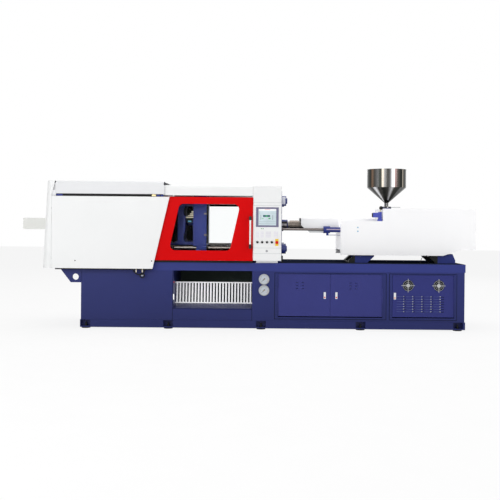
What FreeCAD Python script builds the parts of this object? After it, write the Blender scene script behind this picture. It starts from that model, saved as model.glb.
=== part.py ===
import FreeCAD, Part
import math
import os

import Sketcher

# A toggle-type injection moulding machine of the 220 tonne class.
# Millimetres, +X from the clamp end to the injection end, -Y is the operator's side, +Z up.
# The origin is on the floor, under the middle of the machine.

document = FreeCAD.newDocument("injection_moulding_machine")
sheet = document.addObject("Spreadsheet::Sheet", "dims")


# ---------------------------------------------------------------- driving dimensions

DIMENSIONS = {
    "bed": [
        ("bed_left", -2048), ("bed_right", 2712), ("bed_half_width", 542), ("rail_proud", 8),
        ("bed_bottom", 12), ("rail_top", 105), ("beam_bottom", 722), ("bed_top", 823),
        ("panel_gauge", 12), ("deck_gauge", 20), ("rail_width", 92),
        ("left_bay_right", -924), ("chute_left", -904), ("chute_right", 76), ("chute_bottom", 114),
        ("post_bay_left", 96), ("post_bay_right", 345),
        ("cabinet_left", 365), ("cabinet_right", 1724), ("fan_bay_left", 1784), ("fan_bay_right", 2612),
        ("bay_frame_bottom", 124), ("bay_frame_width", 30), ("bay_frame_proud", 5),
        ("drop_left", -480), ("drop_half_width", 268),
        ("pocket_width", 120), ("pocket_bottom", 27), ("pocket_top", 102), ("pocket_depth", 70),
        ("pad_radius", 55), ("stud_radius", 10), ("stud_top", 74), ("pad_inset", 40), ("pad_nut_radius", 18),
        ("gusset_tip", -2375), ("gusset_foot", -2175), ("gusset_bottom", 564), ("gusset_gauge", 25),
        ("lift_hole_x", -2116), ("lift_hole_z", 633), ("lift_hole_radius", 39),
        ("slide_inner", 282), ("slide_outer", 352), ("slide_top", 838), ("slide_right", 240),
        ("slide_left", -2000),
        ("tray_lip", 255), ("tray_back", 286), ("tray_back_y", -215), ("tray_gauge", 5),
        ("outrigger_bottom", 760), ("outrigger_top", 800), ("outrigger_width", 40),
    ],
    "grille": [
        ("bar_count", 25), ("bar_pitch", 39), ("bar_width", 20), ("bar_depth", 22), ("grille_middle", -414),
        ("grille_foot_y", -235), ("grille_head_y", -190), ("grille_foot", 287), ("grille_head", 557),
        ("grille_rail", 14),
    ],
    "gauges": [
        ("gauge_x", 222), ("upper_gauge_z", 621), ("lower_gauge_z", 484), ("gauge_radius", 65),
        ("gauge_proud", 24), ("gauge_rim", 9), ("gauge_recess", 16), ("needle_length", 44),
        ("needle_width", 7), ("needle_zero", -135), ("needle_hub", 8), ("needle_gauge", 3), ("needle_pin", 3),
    ],
    "bed_doors": [
        ("door_gap", 3), ("door_gauge", 3), ("door_flange", 22), ("door_meeting_x", 1044),
        ("door_bottom", 164), ("door_top", 687), ("lever_width", 27), ("lever_length", 82),
        ("lever_depth", 10), ("lever_top", 468), ("lever_shaft", 6), ("left_lever_x", 976),
        ("right_lever_x", 1120), ("fan_lever_x", 1845), ("fan_radius", 70), ("fan_z", 558),
        ("left_fan_x", 2010), ("right_fan_x", 2391), ("fan_hub", 24), ("fan_blades", 5),
        ("fan_blade_depth", 22), ("fan_back", 60), ("louvre_width", 90), ("louvre_height", 7),
        ("louvre_pitch_x", 113), ("louvre_pitch_z", 31), ("louvre_left", 1914), ("louvre_bottom", 229),
        ("louvre_rows", 7),
        ("hinge_bottom", 170), ("hinge_length", 515), ("knuckle_radius", 5),
        ("hinge_pin", 2.5), ("leaf_width", 18), ("leaf_gauge", 2), ("door_proud", 2),
        ("vent_width", 28), ("vent_height", 6), ("vent_pitch_z", 36), ("vent_pitch_x", 52),
        ("left_vent_x", 668), ("right_vent_x", 1331), ("vent_bottom", 508),
    ],
    "clamp": [
        ("machine_axis", 1298), ("bar_half_pitch", 302.5), ("bar_radius", 37.5), ("bar_clearance", 0.3),
        ("bar_left", -2080), ("bar_right", 512), ("bar_nut_radius", 64), ("bar_nut_length", 56),
        ("fixed_face", 258), ("fixed_back", 442), ("platen_half", 425), ("platen_corner", 70),
        ("platen_foot_half", 330), ("locating_radius", 80), ("locating_depth", 25),
        ("mould_hole_radius", 8), ("mould_hole_depth", 40), ("mould_hole_wide", 280),
        ("mould_hole_mid", 210), ("mould_hole_narrow", 70), ("nozzle_hole", 30), ("nozzle_recess", 50),
        ("nozzle_wall", 40), ("hub_radius", 66), ("hub_length", 90),
        ("moving_face", -508), ("moving_back_of_plate", -676), ("moving_rear_wall", -803),
        ("moving_back", -879), ("moving_half", 275), ("moving_lug", 62), ("moving_rear_half", 262),
        ("moving_web", 36), ("shoe_height", 40),
    ],
    "toggle": [
        ("tail_pin_x", -1260), ("toggle_half_pitch", 300), ("rear_link_length", 240),
        ("front_link_length", 480), ("open_angle", 125), ("third_pin_reach", 200),
        ("third_pin_angle", 20), ("crosshead_half_pitch", 80), ("eye_radius", 48), ("pin_radius", 28),
        ("pin_clearance", 0.05), ("pin_head", 7), ("small_eye_radius", 34), ("small_pin_radius", 18),
        ("inner_plane", 91), ("link_gauge", 30), ("tongue_width", 78), ("plane_gap", 0.5),
        ("crosshead_link_gauge", 28), ("tail_face", -1605), ("tail_thickness", 180),
        ("tail_window", 190), ("tail_window_depth", 60), ("adjust_nut_radius", 62), ("adjust_nut_length", 60),
        ("guide_rod_y", 268), ("guide_rod_radius", 24), ("guide_rod_right", -965),
        ("crosshead_half_width", 58), ("crosshead_half_length", 46), ("beam_half_height", 34),
        ("rod_radius", 26), ("cylinder_radius", 56), ("cylinder_bore", 42), ("cylinder_length", 610),
        ("cylinder_head", 42), ("piston_length", 40), ("ejector_gauge", 18), ("ejector_top", 107),
        ("ejector_half_width", 150), ("ejector_rod_radius", 15), ("ejector_rod_y", 100),
    ],
    "guards": [
        ("cover_y", 640), ("cover_depth", 34), ("sheet_gauge", 3), ("cover_left", -2398),
        ("cover_bottom", 744), ("cover_top", 1631), ("slant_top", -952), ("slant_bottom", -1155),
        ("tail_left_top", -2460), ("tail_left_bottom", -2509), ("tail_roof_right", -2357),
        ("tail_round", 60), ("hood_round", 42), ("rear_hood_right", -1025), ("rear_hood_bottom", 1655),
        ("rear_hood_top", 1820), ("rear_hood_half", 628), ("front_hood_left", -1012),
        ("front_hood_right", 79), ("front_hood_bottom", 1652), ("front_hood_top", 1778),
        ("front_hood_half", 604), ("guard_box_left", -2904), ("guard_box_half", 75),
        ("guard_box_top", 1359), ("guard_box_bottom", 1213), ("post_size", 40), ("post_y", 515),
        ("rail_bottom", 1596), ("rear_post_x", -2385), ("middle_post_x", -1300), ("front_post_x", 34),
        ("guide_height", 22), ("guide_y", 530), ("guide_depth", 38),
    ],
    "safety_doors": [
        ("safety_left", -1170), ("safety_right", 80), ("safety_bottom", 850), ("safety_top", 1634),
        ("safety_y", 600), ("safety_depth", 25), ("window_top", 1548), ("window_bottom", 973),
        ("window_top_left", -830), ("window_bottom_left", -956), ("window_width", 750),
        ("window_round", 62), ("pane_lap", 22), ("pane_gauge", 5), ("grip_x", 45), ("grip_y", 648),
        ("rear_window_left", -600), ("rear_window_right", -60), ("rear_window_bottom", 1036),
        ("rear_window_top", 1540),
        ("grip_radius", 11), ("grip_bottom", 1000), ("grip_top", 1402), ("grip_mount", 30),
    ],
    "operator_cabinet": [
        ("desk_left", 82), ("desk_right", 430), ("desk_front", -620), ("desk_back", -440),
        ("desk_bottom", 855), ("desk_top", 1772), ("desk_round", 8), ("seam_depth", 3), ("seam_gap", 4),
        ("cap_seam", 1571), ("panel_top", 1534), ("panel_bottom", 1011), ("lower_seam", 943),
        ("panel_left", 103), ("panel_right", 399), ("panel_proud", 3), ("screen_left", 115),
        ("screen_right", 394), ("screen_bottom", 1270), ("screen_top", 1513), ("screen_rim", 20),
        ("screen_proud", 7), ("screen_recess", 5), ("plinth_inset", 40), ("button_z", 1081),
        ("button_first_x", 133), ("button_pitch", 59.5), ("button_radius", 12), ("button_stem", 8),
        ("button_clearance", 0.08), ("button_depth", 22), ("button_proud", 18), ("button_cap", 10),
        ("stop_x", 374), ("stop_radius", 19), ("stop_proud", 30), ("stop_cap", 16),
        ("stop_plate_half", 20), ("stop_plate_tall", 43),
        ("lock_x", 250), ("lock_z", 974), ("lock_radius", 13),
    ],
    "injection": [
        ("pedestal_height", 99), ("front_pedestal_left", 1303), ("front_pedestal_right", 1630),
        ("rear_pedestal_left", 2328), ("rear_pedestal_right", 2665), ("guide_bar_y", 215),
        ("guide_bar_z", 946), ("guide_bar_radius", 22), ("pedestal_half", 260), ("block_length", 80),
        ("seat_half", 34), ("seat_length", 80), ("seat_rise", 8),
        ("barrel_tip", 286), ("barrel_front_radius", 42), ("barrel_step", 560), ("barrel_radius", 55),
        ("barrel_end", 1905), ("barrel_bore", 27.5), ("nozzle_radius", 24), ("nozzle_length", 120),
        ("housing_left", 1735), ("housing_right", 1904), ("housing_half", 300), ("housing_bottom", 980),
        ("housing_top", 1470), ("throat_x", 1823), ("throat_radius", 27), ("housing_boss", 130),
        ("barrel_guard_left", 692), ("barrel_guard_right", 1722), ("barrel_guard_top", 1387),
        ("barrel_guard_bottom", 1258), ("barrel_guard_half", 150), ("barrel_guard_cut", 46),
        ("guard_left", 1199), ("guard_step", 1726), ("guard_right", 2904), ("guard_half", 330),
        ("guard_bottom", 922), ("guard_low_top", 1355), ("guard_high_top", 1514),
        ("guard_slope_left", 2493), ("guard_slope_right", 2714), ("guard_tail_bottom", 1000),
        ("guard_end_bottom", 984), ("guard_way", 2),
        ("shift_y", 205), ("shift_z", 1240), ("shift_rod_radius", 14), ("shift_rod_right", 1470),
        ("shift_nose", 984), ("shift_nut_length", 83), ("shift_nut_radius", 45), ("shift_radius", 33),
        ("shift_bore", 25), ("shift_end", 1530), ("charge_cylinder_y", 205), ("charge_cylinder_radius", 62),
        ("charge_cylinder_right", 2300), ("charge_rod_radius", 30), ("drive_plate_left", 2400),
        ("drive_plate_right", 2460), ("drive_half_width", 280), ("drive_half_height", 90),
        ("motor_radius", 105), ("motor_right", 2660), ("screw_clearance", 0.1), ("screw_shaft", 22),
        ("hopper_radius", 251), ("hopper_rim", 2029), ("hopper_shoulder", 1793), ("hopper_neck", 1595),
        ("neck_radius", 26), ("gate_top", 1546), ("gate_thickness", 8), ("hopper_gauge", 2.5),
        ("gate_flange", 62), ("gate_left", 1760), ("gate_right", 2004), ("gate_half", 30),
        ("throat_top", 1530),
    ],
    "equipment": [
        ("mounting_plate_y", 440), ("mounting_plate_left", 440), ("mounting_plate_right", 1650),
        ("mounting_plate_bottom", 170), ("mounting_plate_top", 690), ("mounting_plate_gauge", 4),
        ("pump_axis", 330), ("pump_motor_radius", 125), ("pump_motor_left", 2060),
        ("pump_motor_right", 2430), ("pump_left", 1900), ("pump_radius", 70),
    ],
}


class Size:
    """A size with its value now and the sheet formula that keeps it up to date."""

    def __init__(self, value, formula):
        self.value = value
        self.formula = formula

    def combine(self, other, sign, flip=False):
        """Join two sizes with + - * or / and return the size that results."""
        left, right = (as_size(other), self) if flip else (self, as_size(other))
        results = {
            "+": left.value + right.value,
            "-": left.value - right.value,
            "*": left.value * right.value,
            "/": left.value / right.value if right.value else 0.0,
        }
        return Size(results[sign], f"({left.formula} {sign} {right.formula})")

    def __add__(self, other):
        return self.combine(other, "+")

    def __radd__(self, other):
        return self.combine(other, "+", flip=True)

    def __sub__(self, other):
        return self.combine(other, "-")

    def __rsub__(self, other):
        return self.combine(other, "-", flip=True)

    def __mul__(self, other):
        return self.combine(other, "*")

    def __rmul__(self, other):
        return self.combine(other, "*", flip=True)

    def __truediv__(self, other):
        return self.combine(other, "/")

    def __neg__(self):
        return Size(-self.value, f"(0 - {self.formula})")


def as_size(number):
    """Give a plain number the same form as a size from the sheet."""
    return number if isinstance(number, Size) else Size(float(number), f"{float(number):.6f}")


class Dimensions:
    """The sheet's cells, read as attributes: d.bed_top is the bed's top."""

    def fill(self, groups):
        """Write each group's heading and its cells to the sheet."""
        row = 1
        for heading, cells in groups.items():
            sheet.set(f"A{row}", heading.replace("_", " "))
            row += 1
            for alias, value in cells:
                sheet.set(f"A{row}", alias)
                sheet.set(f"B{row}", str(value))
                sheet.setAlias(f"B{row}", alias)
                setattr(self, alias, Size(float(value), f"dims.{alias}"))
                row += 1
        document.recompute()


d = Dimensions()
d.fill(DIMENSIONS)


def sine(angle):
    """Sine of an angle in degrees."""
    return Size(math.sin(math.radians(angle.value)), f"sin({angle.formula})")


def cosine(angle):
    """Cosine of an angle in degrees."""
    return Size(math.cos(math.radians(angle.value)), f"cos({angle.formula})")


def root(size):
    """Square root of a size."""
    return Size(math.sqrt(size.value), f"sqrt({size.formula})")


def arc_sine(size):
    """Angle in degrees whose sine is the given size."""
    return Size(math.degrees(math.asin(size.value)), f"(asin({size.formula}) / 1deg)")


# ---------------------------------------------------------------- shared operations

nodes = []


def new_part(label):
    """Start a body whose label is the sub-part's name."""
    body = document.addObject("PartDesign::Body", label)
    body.Label = label
    nodes.append(body)
    return body


def origin_item(body, role):
    """Find an origin plane or axis of the body by its role."""
    return next(item for item in body.Origin.OriginFeatures if item.Role == role)


def sketch_on(body, plane, height, shift=(0, 0)):
    """Open a sketch parallel to an origin plane, at a height along its normal."""
    sketch = body.newObject("Sketcher::SketchObject", "profile")
    sketch.AttachmentSupport = [(origin_item(body, plane), "")]
    sketch.MapMode = "FlatFace"
    sketch.setExpression(".AttachmentOffset.Base.x", as_size(shift[0]).formula)
    sketch.setExpression(".AttachmentOffset.Base.y", as_size(shift[1]).formula)
    sketch.setExpression(".AttachmentOffset.Base.z", as_size(height).formula)
    return sketch


def tie_point(sketch, geometry, vertex, x, y):
    """Hold one vertex of the sketch at a formula's x and y."""
    for kind, size in (("DistanceX", as_size(x)), ("DistanceY", as_size(y))):
        number = sketch.addConstraint(Sketcher.Constraint(kind, -1, 1, geometry, vertex, size.value))
        sketch.setExpression(f"Constraints[{number}]", size.formula)


def draw_polygon(sketch, points):
    """Draw a closed outline of straight edges whose corners follow the sheet."""
    corners = [FreeCAD.Vector(as_size(x).value, as_size(y).value, 0) for x, y in points]
    first = sketch.GeometryCount
    count = len(corners)
    for index, corner in enumerate(corners):
        sketch.addGeometry(Part.LineSegment(corner, corners[(index + 1) % count]))
    for index in range(count):
        following = first + (index + 1) % count
        sketch.addConstraint(Sketcher.Constraint("Coincident", first + index, 2, following, 1))
    for index, (x, y) in enumerate(points):
        tie_point(sketch, first + index, 1, x, y)


def draw_circle(sketch, x, y, radius):
    """Draw a circle whose centre and radius follow the sheet."""
    centre = FreeCAD.Vector(as_size(x).value, as_size(y).value, 0)
    radius = as_size(radius)
    number = sketch.addGeometry(Part.Circle(centre, FreeCAD.Vector(0, 0, 1), radius.value))
    tie_point(sketch, number, 3, x, y)
    constraint = sketch.addConstraint(Sketcher.Constraint("Radius", number, radius.value))
    sketch.setExpression(f"Constraints[{constraint}]", radius.formula)


def draw(sketch, outlines):
    """Draw circles, given as (x, y, radius), and polygons, given as lists of corners."""
    for outline in outlines:
        if isinstance(outline, tuple):
            draw_circle(sketch, *outline)
        else:
            draw_polygon(sketch, outline)


def rectangle(left, bottom, right, top):
    """Corners of an upright rectangle."""
    return [(left, bottom), (right, bottom), (right, top), (left, top)]


def centred(x, y, half_width, half_height):
    """Corners of a rectangle about its centre."""
    return rectangle(x - half_width, y - half_height, x + half_width, y + half_height)


def extrude(body, kind, plane, outlines, low, high):
    """Pad or pocket outlines between two coordinates along the plane's axis.

    The XZ plane faces -Y, so there the sketch stands at the higher Y and runs down to the lower."""
    low, high = as_size(low), as_size(high)
    sketch = sketch_on(body, plane, -high if plane == "XZ_Plane" else low)
    draw(sketch, outlines)
    feature = body.newObject(f"PartDesign::{kind}", kind.lower())
    feature.Profile = sketch
    feature.Reversed = kind == "Pocket"
    feature.setExpression("Length", (high - low).formula)
    return feature


def pad(body, plane, outlines, low, high):
    """Add material over the outlines, from low to high."""
    return extrude(body, "Pad", plane, outlines, low, high)


def cut(body, plane, outlines, low, high):
    """Remove material over the outlines, from low to high."""
    return extrude(body, "Pocket", plane, outlines, low, high)


def turn(body, kind, outline, axis, x, z, y=0):
    """Revolve an outline of (along, radius) points about a line along X or up Z through (x, y, z)."""
    sketch = sketch_on(body, "XZ_Plane", -as_size(y), (x, z))
    points = outline if axis == "X" else [(radius, along) for along, radius in outline]
    draw(sketch, [points])
    feature = body.newObject(f"PartDesign::{kind}", kind.lower())
    feature.Profile = sketch
    feature.ReferenceAxis = (sketch, ["H_Axis" if axis == "X" else "V_Axis"])
    feature.Angle = 360
    return feature


def round_edges(body, radius, chosen):
    """Round the edges of the body so far that the test picks by their middle and direction."""
    document.recompute([body])
    tip = body.Tip
    names = []
    for number, edge in enumerate(tip.Shape.Edges, start=1):
        start, end = edge.Vertexes[0].Point, edge.Vertexes[-1].Point
        along = end - start
        if along.Length > 0:
            along.normalize()
        if chosen((start + end) * 0.5, along):
            names.append(f"Edge{number}")
    fillet = body.newObject("PartDesign::Fillet", "fillet")
    fillet.Base = (tip, names)
    fillet.setExpression("Radius", as_size(radius).formula)
    return fillet


def hollow(body, gauge, opened):
    """Shell the body so far to a sheet gauge, leaving out the faces that the test picks."""
    document.recompute([body])
    tip = body.Tip
    faces = [f"Face{number}" for number, face in enumerate(tip.Shape.Faces, start=1)
             if opened(face.CenterOfMass, face.normalAt(0, 0))]
    shell = body.newObject("PartDesign::Thickness", "shell")
    shell.Base = (tip, faces)
    shell.Reversed = True
    shell.Join = "Intersection"
    shell.setExpression("Value", as_size(gauge).formula)
    return shell


def repeat(body, feature, axis, step, count):
    """Repeat a feature along an origin axis at an even pitch."""
    pattern = body.newObject("PartDesign::LinearPattern", "pattern")
    pattern.Originals = [feature]
    pattern.Direction = (origin_item(body, axis), [""])
    pattern.Mode = "Spacing"
    pattern.setExpression("Offset", as_size(step).formula)
    pattern.setExpression("Occurrences", as_size(count).formula)
    body.Tip = pattern
    return pattern


def place(body, x, y, z):
    """Put a part that is drawn about its own origin at its place on the machine."""
    for name, size in (("x", x), ("y", y), ("z", z)):
        body.setExpression(f".Placement.Base.{name}", as_size(size).formula)


def lean(body, angle):
    """Turn a placed part about the machine's Y axis."""
    body.Placement.Rotation = FreeCAD.Rotation(FreeCAD.Vector(0, 1, 0), angle.value)
    body.setExpression(".Placement.Rotation.Angle", angle.formula)


def side_span(side, inner, outer):
    """Low and high Y of a stretch that lies on one side of the machine: -1 front, +1 rear."""
    return (as_size(inner), as_size(outer)) if side > 0 else (-as_size(outer), -as_size(inner))


def near(value, target, slack=1.0):
    """True when a coordinate is at a size, within the slack."""
    return abs(value - as_size(target).value) < slack


SIDES = (-1, 1)


# ---------------------------------------------------------------- bed

rail_half = d.bed_half_width + d.rail_proud
rail_left = d.bed_left - d.rail_proud
rail_right = d.bed_right + d.rail_proud
pad_y = rail_half - d.pad_inset
pad_centres = [
    d.bed_left + d.pocket_width / 2,
    d.left_bay_right - d.pocket_width / 3,
    (d.post_bay_left + d.post_bay_right) / 2 - d.rail_proud * 4,
    d.cabinet_right - d.pocket_width * 2.5,
    d.bed_right - d.pocket_width * 0.66,
]


def hinge_lines():
    """Hinge axes of the three bed doors: x, and the side of the axis on which the frame lies."""
    edge = d.bay_frame_width + d.door_gap / 2
    return [(d.cabinet_left + edge, -1), (d.cabinet_right - edge, 1), (d.fan_bay_right - edge, 1)]


def hinge_leaf(x, away, back):
    """Section of a hinge leaf that lies on a panel, from the axis towards one side, down to its back."""
    front = -d.bed_half_width - d.bay_frame_proud - d.leaf_gauge
    ends = (x, x + d.leaf_width * away) if away > 0 else (x + d.leaf_width * away, x)
    return rectangle(ends[0], front, ends[1], back)


def bed_hinges(body):
    """Fixed halves of the doors' continuous hinges: packed leaf, two end knuckles and the pin between them."""
    axis_y = -d.bed_half_width - d.bay_frame_proud - d.knuckle_radius
    back = -d.bed_half_width - d.bay_frame_proud + d.door_proud + 0.5
    low, high = d.hinge_bottom, d.hinge_bottom + d.hinge_length
    third = d.hinge_length / 3
    leaves = [hinge_leaf(x, away, back) for x, away in hinge_lines()]
    knuckles = [(x, axis_y, d.knuckle_radius) for x, away in hinge_lines()]
    for start, end in ((low, low + third), (high - third, high)):
        pad(body, "XY_Plane", leaves, start, end)
        pad(body, "XY_Plane", knuckles, start, end)
    pad(body, "XY_Plane", [(x, axis_y, d.hinge_pin) for x, away in hinge_lines()], low, high)


def door_hinge(body, number):
    """Moving half of a bed door's hinge: leaf and middle knuckle with its bore."""
    x, away = hinge_lines()[number]
    axis_y = -d.bed_half_width - d.bay_frame_proud - d.knuckle_radius
    back = -d.bed_half_width - d.bay_frame_proud + 0.5
    start = d.hinge_bottom + d.hinge_length / 3 + d.bar_clearance
    end = d.hinge_bottom + d.hinge_length * 2 / 3 - d.bar_clearance
    leaf = hinge_leaf(x, -away, back)
    pad(body, "XY_Plane", [leaf], start, end)
    pad(body, "XY_Plane", [(x, axis_y, d.knuckle_radius)], start, end)
    cut(body, "XY_Plane", [(x, axis_y, d.hinge_pin + d.pin_clearance)], start - 1, end + 1)


def bay_door_span(left, right):
    """Clear opening of a bay inside its raised frame: left, bottom, right, top."""
    edge = d.bay_frame_width
    return (left + edge, d.bay_frame_bottom + edge, right - edge, d.door_top + d.door_gap)


def bed_frame():
    """Welded bed: rail, base box, top beam, open bays, chute, gussets and slide ways."""
    body = new_part("bed_frame")
    base = rectangle(d.bed_left, -d.bed_half_width, d.bed_right, d.bed_half_width)
    rail = rectangle(rail_left, -rail_half, rail_right, rail_half)
    pad(body, "XY_Plane", [base], d.bed_bottom, d.bed_top)
    pad(body, "XY_Plane", [rail], d.bed_bottom, d.rail_top)
    pad(body, "XY_Plane", [rail], d.beam_bottom, d.bed_top)
    inside = d.bed_half_width - d.panel_gauge
    deck_under = d.bed_top - d.deck_gauge
    throat = d.bed_half_width - d.rail_width
    open_spans = [(d.bed_left + d.panel_gauge, d.left_bay_right), (d.post_bay_left, d.post_bay_right)]
    throats = [rectangle(left, -throat, right, throat) for left, right in open_spans]
    cut(body, "XY_Plane", throats, 0, d.rail_top + 1)
    edge = d.bay_frame_width / 2
    closed_spans = [(d.cabinet_left + edge, d.cabinet_right - edge),
                    (d.fan_bay_left + edge, d.fan_bay_right - edge)]
    bays = [rectangle(left, -inside, right, inside) for left, right in open_spans + closed_spans]
    cut(body, "XY_Plane", bays, d.rail_top, deck_under)
    chute = rectangle(d.chute_left, d.chute_bottom, d.chute_right, d.beam_bottom)
    cut(body, "XZ_Plane", [chute], -rail_half - 1, inside)
    under_chute = rectangle(d.chute_left, -throat, d.chute_right, throat)
    cut(body, "XY_Plane", [under_chute], 0, d.chute_bottom - d.panel_gauge)
    drop = rectangle(d.drop_left, -d.drop_half_width, d.chute_right, d.drop_half_width)
    cut(body, "XY_Plane", [drop], d.beam_bottom - 1, d.bed_top + 1)
    for side in SIDES:
        bed_side(body, side)
    tray = [
        (-d.bed_half_width, d.chute_bottom - d.tray_gauge), (-d.bed_half_width, d.tray_lip),
        (d.tray_back_y, d.tray_back), (d.tray_back_y, d.tray_back - d.tray_gauge),
        (-d.bed_half_width + d.tray_gauge, d.tray_lip - d.tray_gauge),
        (-d.bed_half_width + d.tray_gauge, d.chute_bottom - d.tray_gauge),
    ]
    pad(body, "YZ_Plane", [tray], d.chute_left - 1, d.chute_right + 1)
    bed_hinges(body)
    return body


def bed_side(body, side):
    """One long side of the bed: bay frames and openings, foot pockets, gusset, slide way, outriggers."""
    bays = [(d.cabinet_left, d.cabinet_right), (d.fan_bay_left, d.fan_bay_right)]
    low, high = side_span(side, d.bed_half_width - d.panel_gauge - 1, d.bed_half_width + d.bay_frame_proud)
    if side < 0:
        frames = [rectangle(left, d.bay_frame_bottom, right, d.beam_bottom) for left, right in bays]
        pad(body, "XZ_Plane", frames, low + d.door_proud, high)
        openings = []
        for left, right in bays:
            opening_left, opening_bottom, opening_right, opening_top = bay_door_span(left, right)
            openings.append(rectangle(opening_left, opening_bottom, opening_right, opening_top))
        cut(body, "XZ_Plane", openings, -rail_half - 1, -d.bed_half_width + d.panel_gauge + 1)
    pockets = [rectangle(x - d.pocket_width / 2, d.pocket_bottom, x + d.pocket_width / 2, d.pocket_top)
               for x in pad_centres]
    low, high = side_span(side, rail_half - d.pocket_depth, rail_half + 1)
    cut(body, "XZ_Plane", pockets, low, high)
    studs = [(x, pad_y * side, d.stud_radius + 1) for x in pad_centres]
    cut(body, "XY_Plane", studs, 0, d.pocket_bottom + 1)
    low, high = side_span(side, rail_half - d.gusset_gauge, rail_half)
    gusset = [(d.gusset_tip, d.bed_top), (d.gusset_foot, d.gusset_bottom), (d.bed_left + 1, d.gusset_bottom),
              (d.bed_left + 1, d.bed_top)]
    pad(body, "XZ_Plane", [gusset], low, high)
    cut(body, "XZ_Plane", [(d.lift_hole_x, d.lift_hole_z, d.lift_hole_radius)], low - 1, high + 1)
    low, high = side_span(side, d.slide_inner, d.slide_outer)
    pad(body, "XY_Plane", [rectangle(d.slide_left, low, d.slide_right, high)],
        d.bed_top - 1, d.slide_top)
    low, high = side_span(side, rail_half - 1, d.cover_y - d.sheet_gauge)
    outriggers = [rectangle(x, d.outrigger_bottom, x + d.outrigger_width, d.outrigger_top)
                  for x in (d.bed_left + d.outrigger_width, d.middle_post_x)]
    pad(body, "XZ_Plane", outriggers, low, high)


def hexagon(x, y, radius):
    """Corners of a hexagon about its centre; the radius reaches the corners."""
    half = radius / 2
    rise = radius * (math.sqrt(3) / 2)
    return [(x + radius, y), (x + half, y + rise), (x - half, y + rise),
            (x - radius, y), (x - half, y - rise), (x + half, y - rise)]


def levelling_pads():
    """Ten feet: a round pad on the floor with its stud and nut in the rail's pocket."""
    body = new_part("levelling_pads")
    spots = [(x, pad_y * side) for x in pad_centres for side in SIDES]
    pad(body, "XY_Plane", [(x, y, d.pad_radius) for x, y in spots], 0, d.bed_bottom)
    pad(body, "XY_Plane", [(x, y, d.stud_radius) for x, y in spots], d.bed_bottom - 1, d.stud_top)
    nuts = [hexagon(x, y, d.pad_nut_radius) for x, y in spots]
    pad(body, "XY_Plane", nuts, d.pocket_bottom, d.pocket_bottom + d.stud_radius * 1.6)
    return body


def chute_grille():
    """Leaning guard of upright bars between two rails, across the drop chute."""
    body = new_part("chute_grille")
    half_depth = d.bar_depth / 2
    foot = [(d.grille_foot_y - half_depth, d.grille_foot), (d.grille_foot_y + half_depth, d.grille_foot)]
    head = [(d.grille_head_y + half_depth, d.grille_head), (d.grille_head_y - half_depth, d.grille_head)]
    first = d.grille_middle - d.bar_pitch * (d.bar_count - 1) / 2 - d.bar_width / 2
    bar = pad(body, "YZ_Plane", [foot + head], first, first + d.bar_width)
    repeat(body, bar, "X_Axis", d.bar_pitch, d.bar_count)
    for y, z in ((d.grille_head_y, d.grille_head - d.grille_rail), (d.grille_foot_y, d.grille_foot)):
        rail = rectangle(y - half_depth, z, y + half_depth, z + d.grille_rail)
        pad(body, "YZ_Plane", [rail], d.chute_left, d.chute_right)
    return body


def gauge_cases():
    """Two round pressure gauge cases on the post, each with a dished dial and a needle pin."""
    body = new_part("gauge_cases")
    front = -d.bed_half_width - d.gauge_proud
    dials = [(d.gauge_x, d.upper_gauge_z), (d.gauge_x, d.lower_gauge_z)]
    pad(body, "XZ_Plane", [(x, z, d.gauge_radius) for x, z in dials], front, -d.bed_half_width)
    cut(body, "XZ_Plane", [(x, z, d.gauge_radius - d.gauge_rim) for x, z in dials],
        front - 1, front + d.gauge_recess)
    pad(body, "XZ_Plane", [(x, z, d.needle_pin) for x, z in dials],
        front + d.gauge_recess / 3, front + d.gauge_recess + 1)
    return body


def gauge_needle(label, z):
    """Balanced pointer that turns on the dial's pin."""
    body = new_part(label)
    front = d.gauge_recess / 2 - d.gauge_recess
    half = d.needle_width / 2
    tail = d.needle_length * 0.35
    pointer = [(-half, 0), (-half * 1.6, -tail), (half * 1.6, -tail), (half, 0), (0, d.needle_length)]
    pad(body, "XZ_Plane", [pointer], front, front + d.needle_gauge)
    pad(body, "XZ_Plane", [(0, 0, d.needle_hub)], front, -0.5)
    cut(body, "XZ_Plane", [(0, 0, d.needle_pin + d.pin_clearance)], front - 1, 1)
    place(body, d.gauge_x, -d.bed_half_width - d.gauge_proud + d.gauge_recess, z)
    lean(body, d.needle_zero)
    return body


def electrical_plate():
    """Back plate of the electrical bay with its drives, contactors and wiring ducts."""
    body = new_part("electrical_plate")
    face = d.mounting_plate_y
    outline = rectangle(d.mounting_plate_left, d.mounting_plate_bottom,
                        d.mounting_plate_right, d.mounting_plate_top)
    pad(body, "XZ_Plane", [outline], face, face + d.mounting_plate_gauge)
    width = d.mounting_plate_right - d.mounting_plate_left
    height = d.mounting_plate_top - d.mounting_plate_bottom
    drives = [rectangle(d.mounting_plate_left + width * low, d.mounting_plate_bottom + height * 0.38,
                        d.mounting_plate_left + width * high, d.mounting_plate_top - height * 0.06)
              for low, high in ((0.05, 0.24), (0.28, 0.47))]
    pad(body, "XZ_Plane", drives, face - d.shift_y, face + 1)
    contactors = [rectangle(d.mounting_plate_left + width * 0.53, d.mounting_plate_bottom + height * level,
                            d.mounting_plate_left + width * 0.585,
                            d.mounting_plate_bottom + height * (level + 0.18))
                  for level in (0.12, 0.46, 0.76)]
    column = pad(body, "XZ_Plane", contactors, face - d.platen_corner, face + 1)
    repeat(body, column, "X_Axis", width * 0.075, 6)
    terminals = rectangle(d.mounting_plate_left + width * 0.05, d.mounting_plate_bottom + height * 0.12,
                          d.mounting_plate_left + width * 0.47, d.mounting_plate_bottom + height * 0.24)
    pad(body, "XZ_Plane", [terminals], face - d.platen_corner / 2, face + 1)
    for end in (d.mounting_plate_left, d.mounting_plate_right - d.post_size):
        stand = rectangle(end, d.rail_top, end + d.post_size, d.mounting_plate_bottom + 1)
        pad(body, "XZ_Plane", [stand], face, face + d.post_size)
    return body


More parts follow.
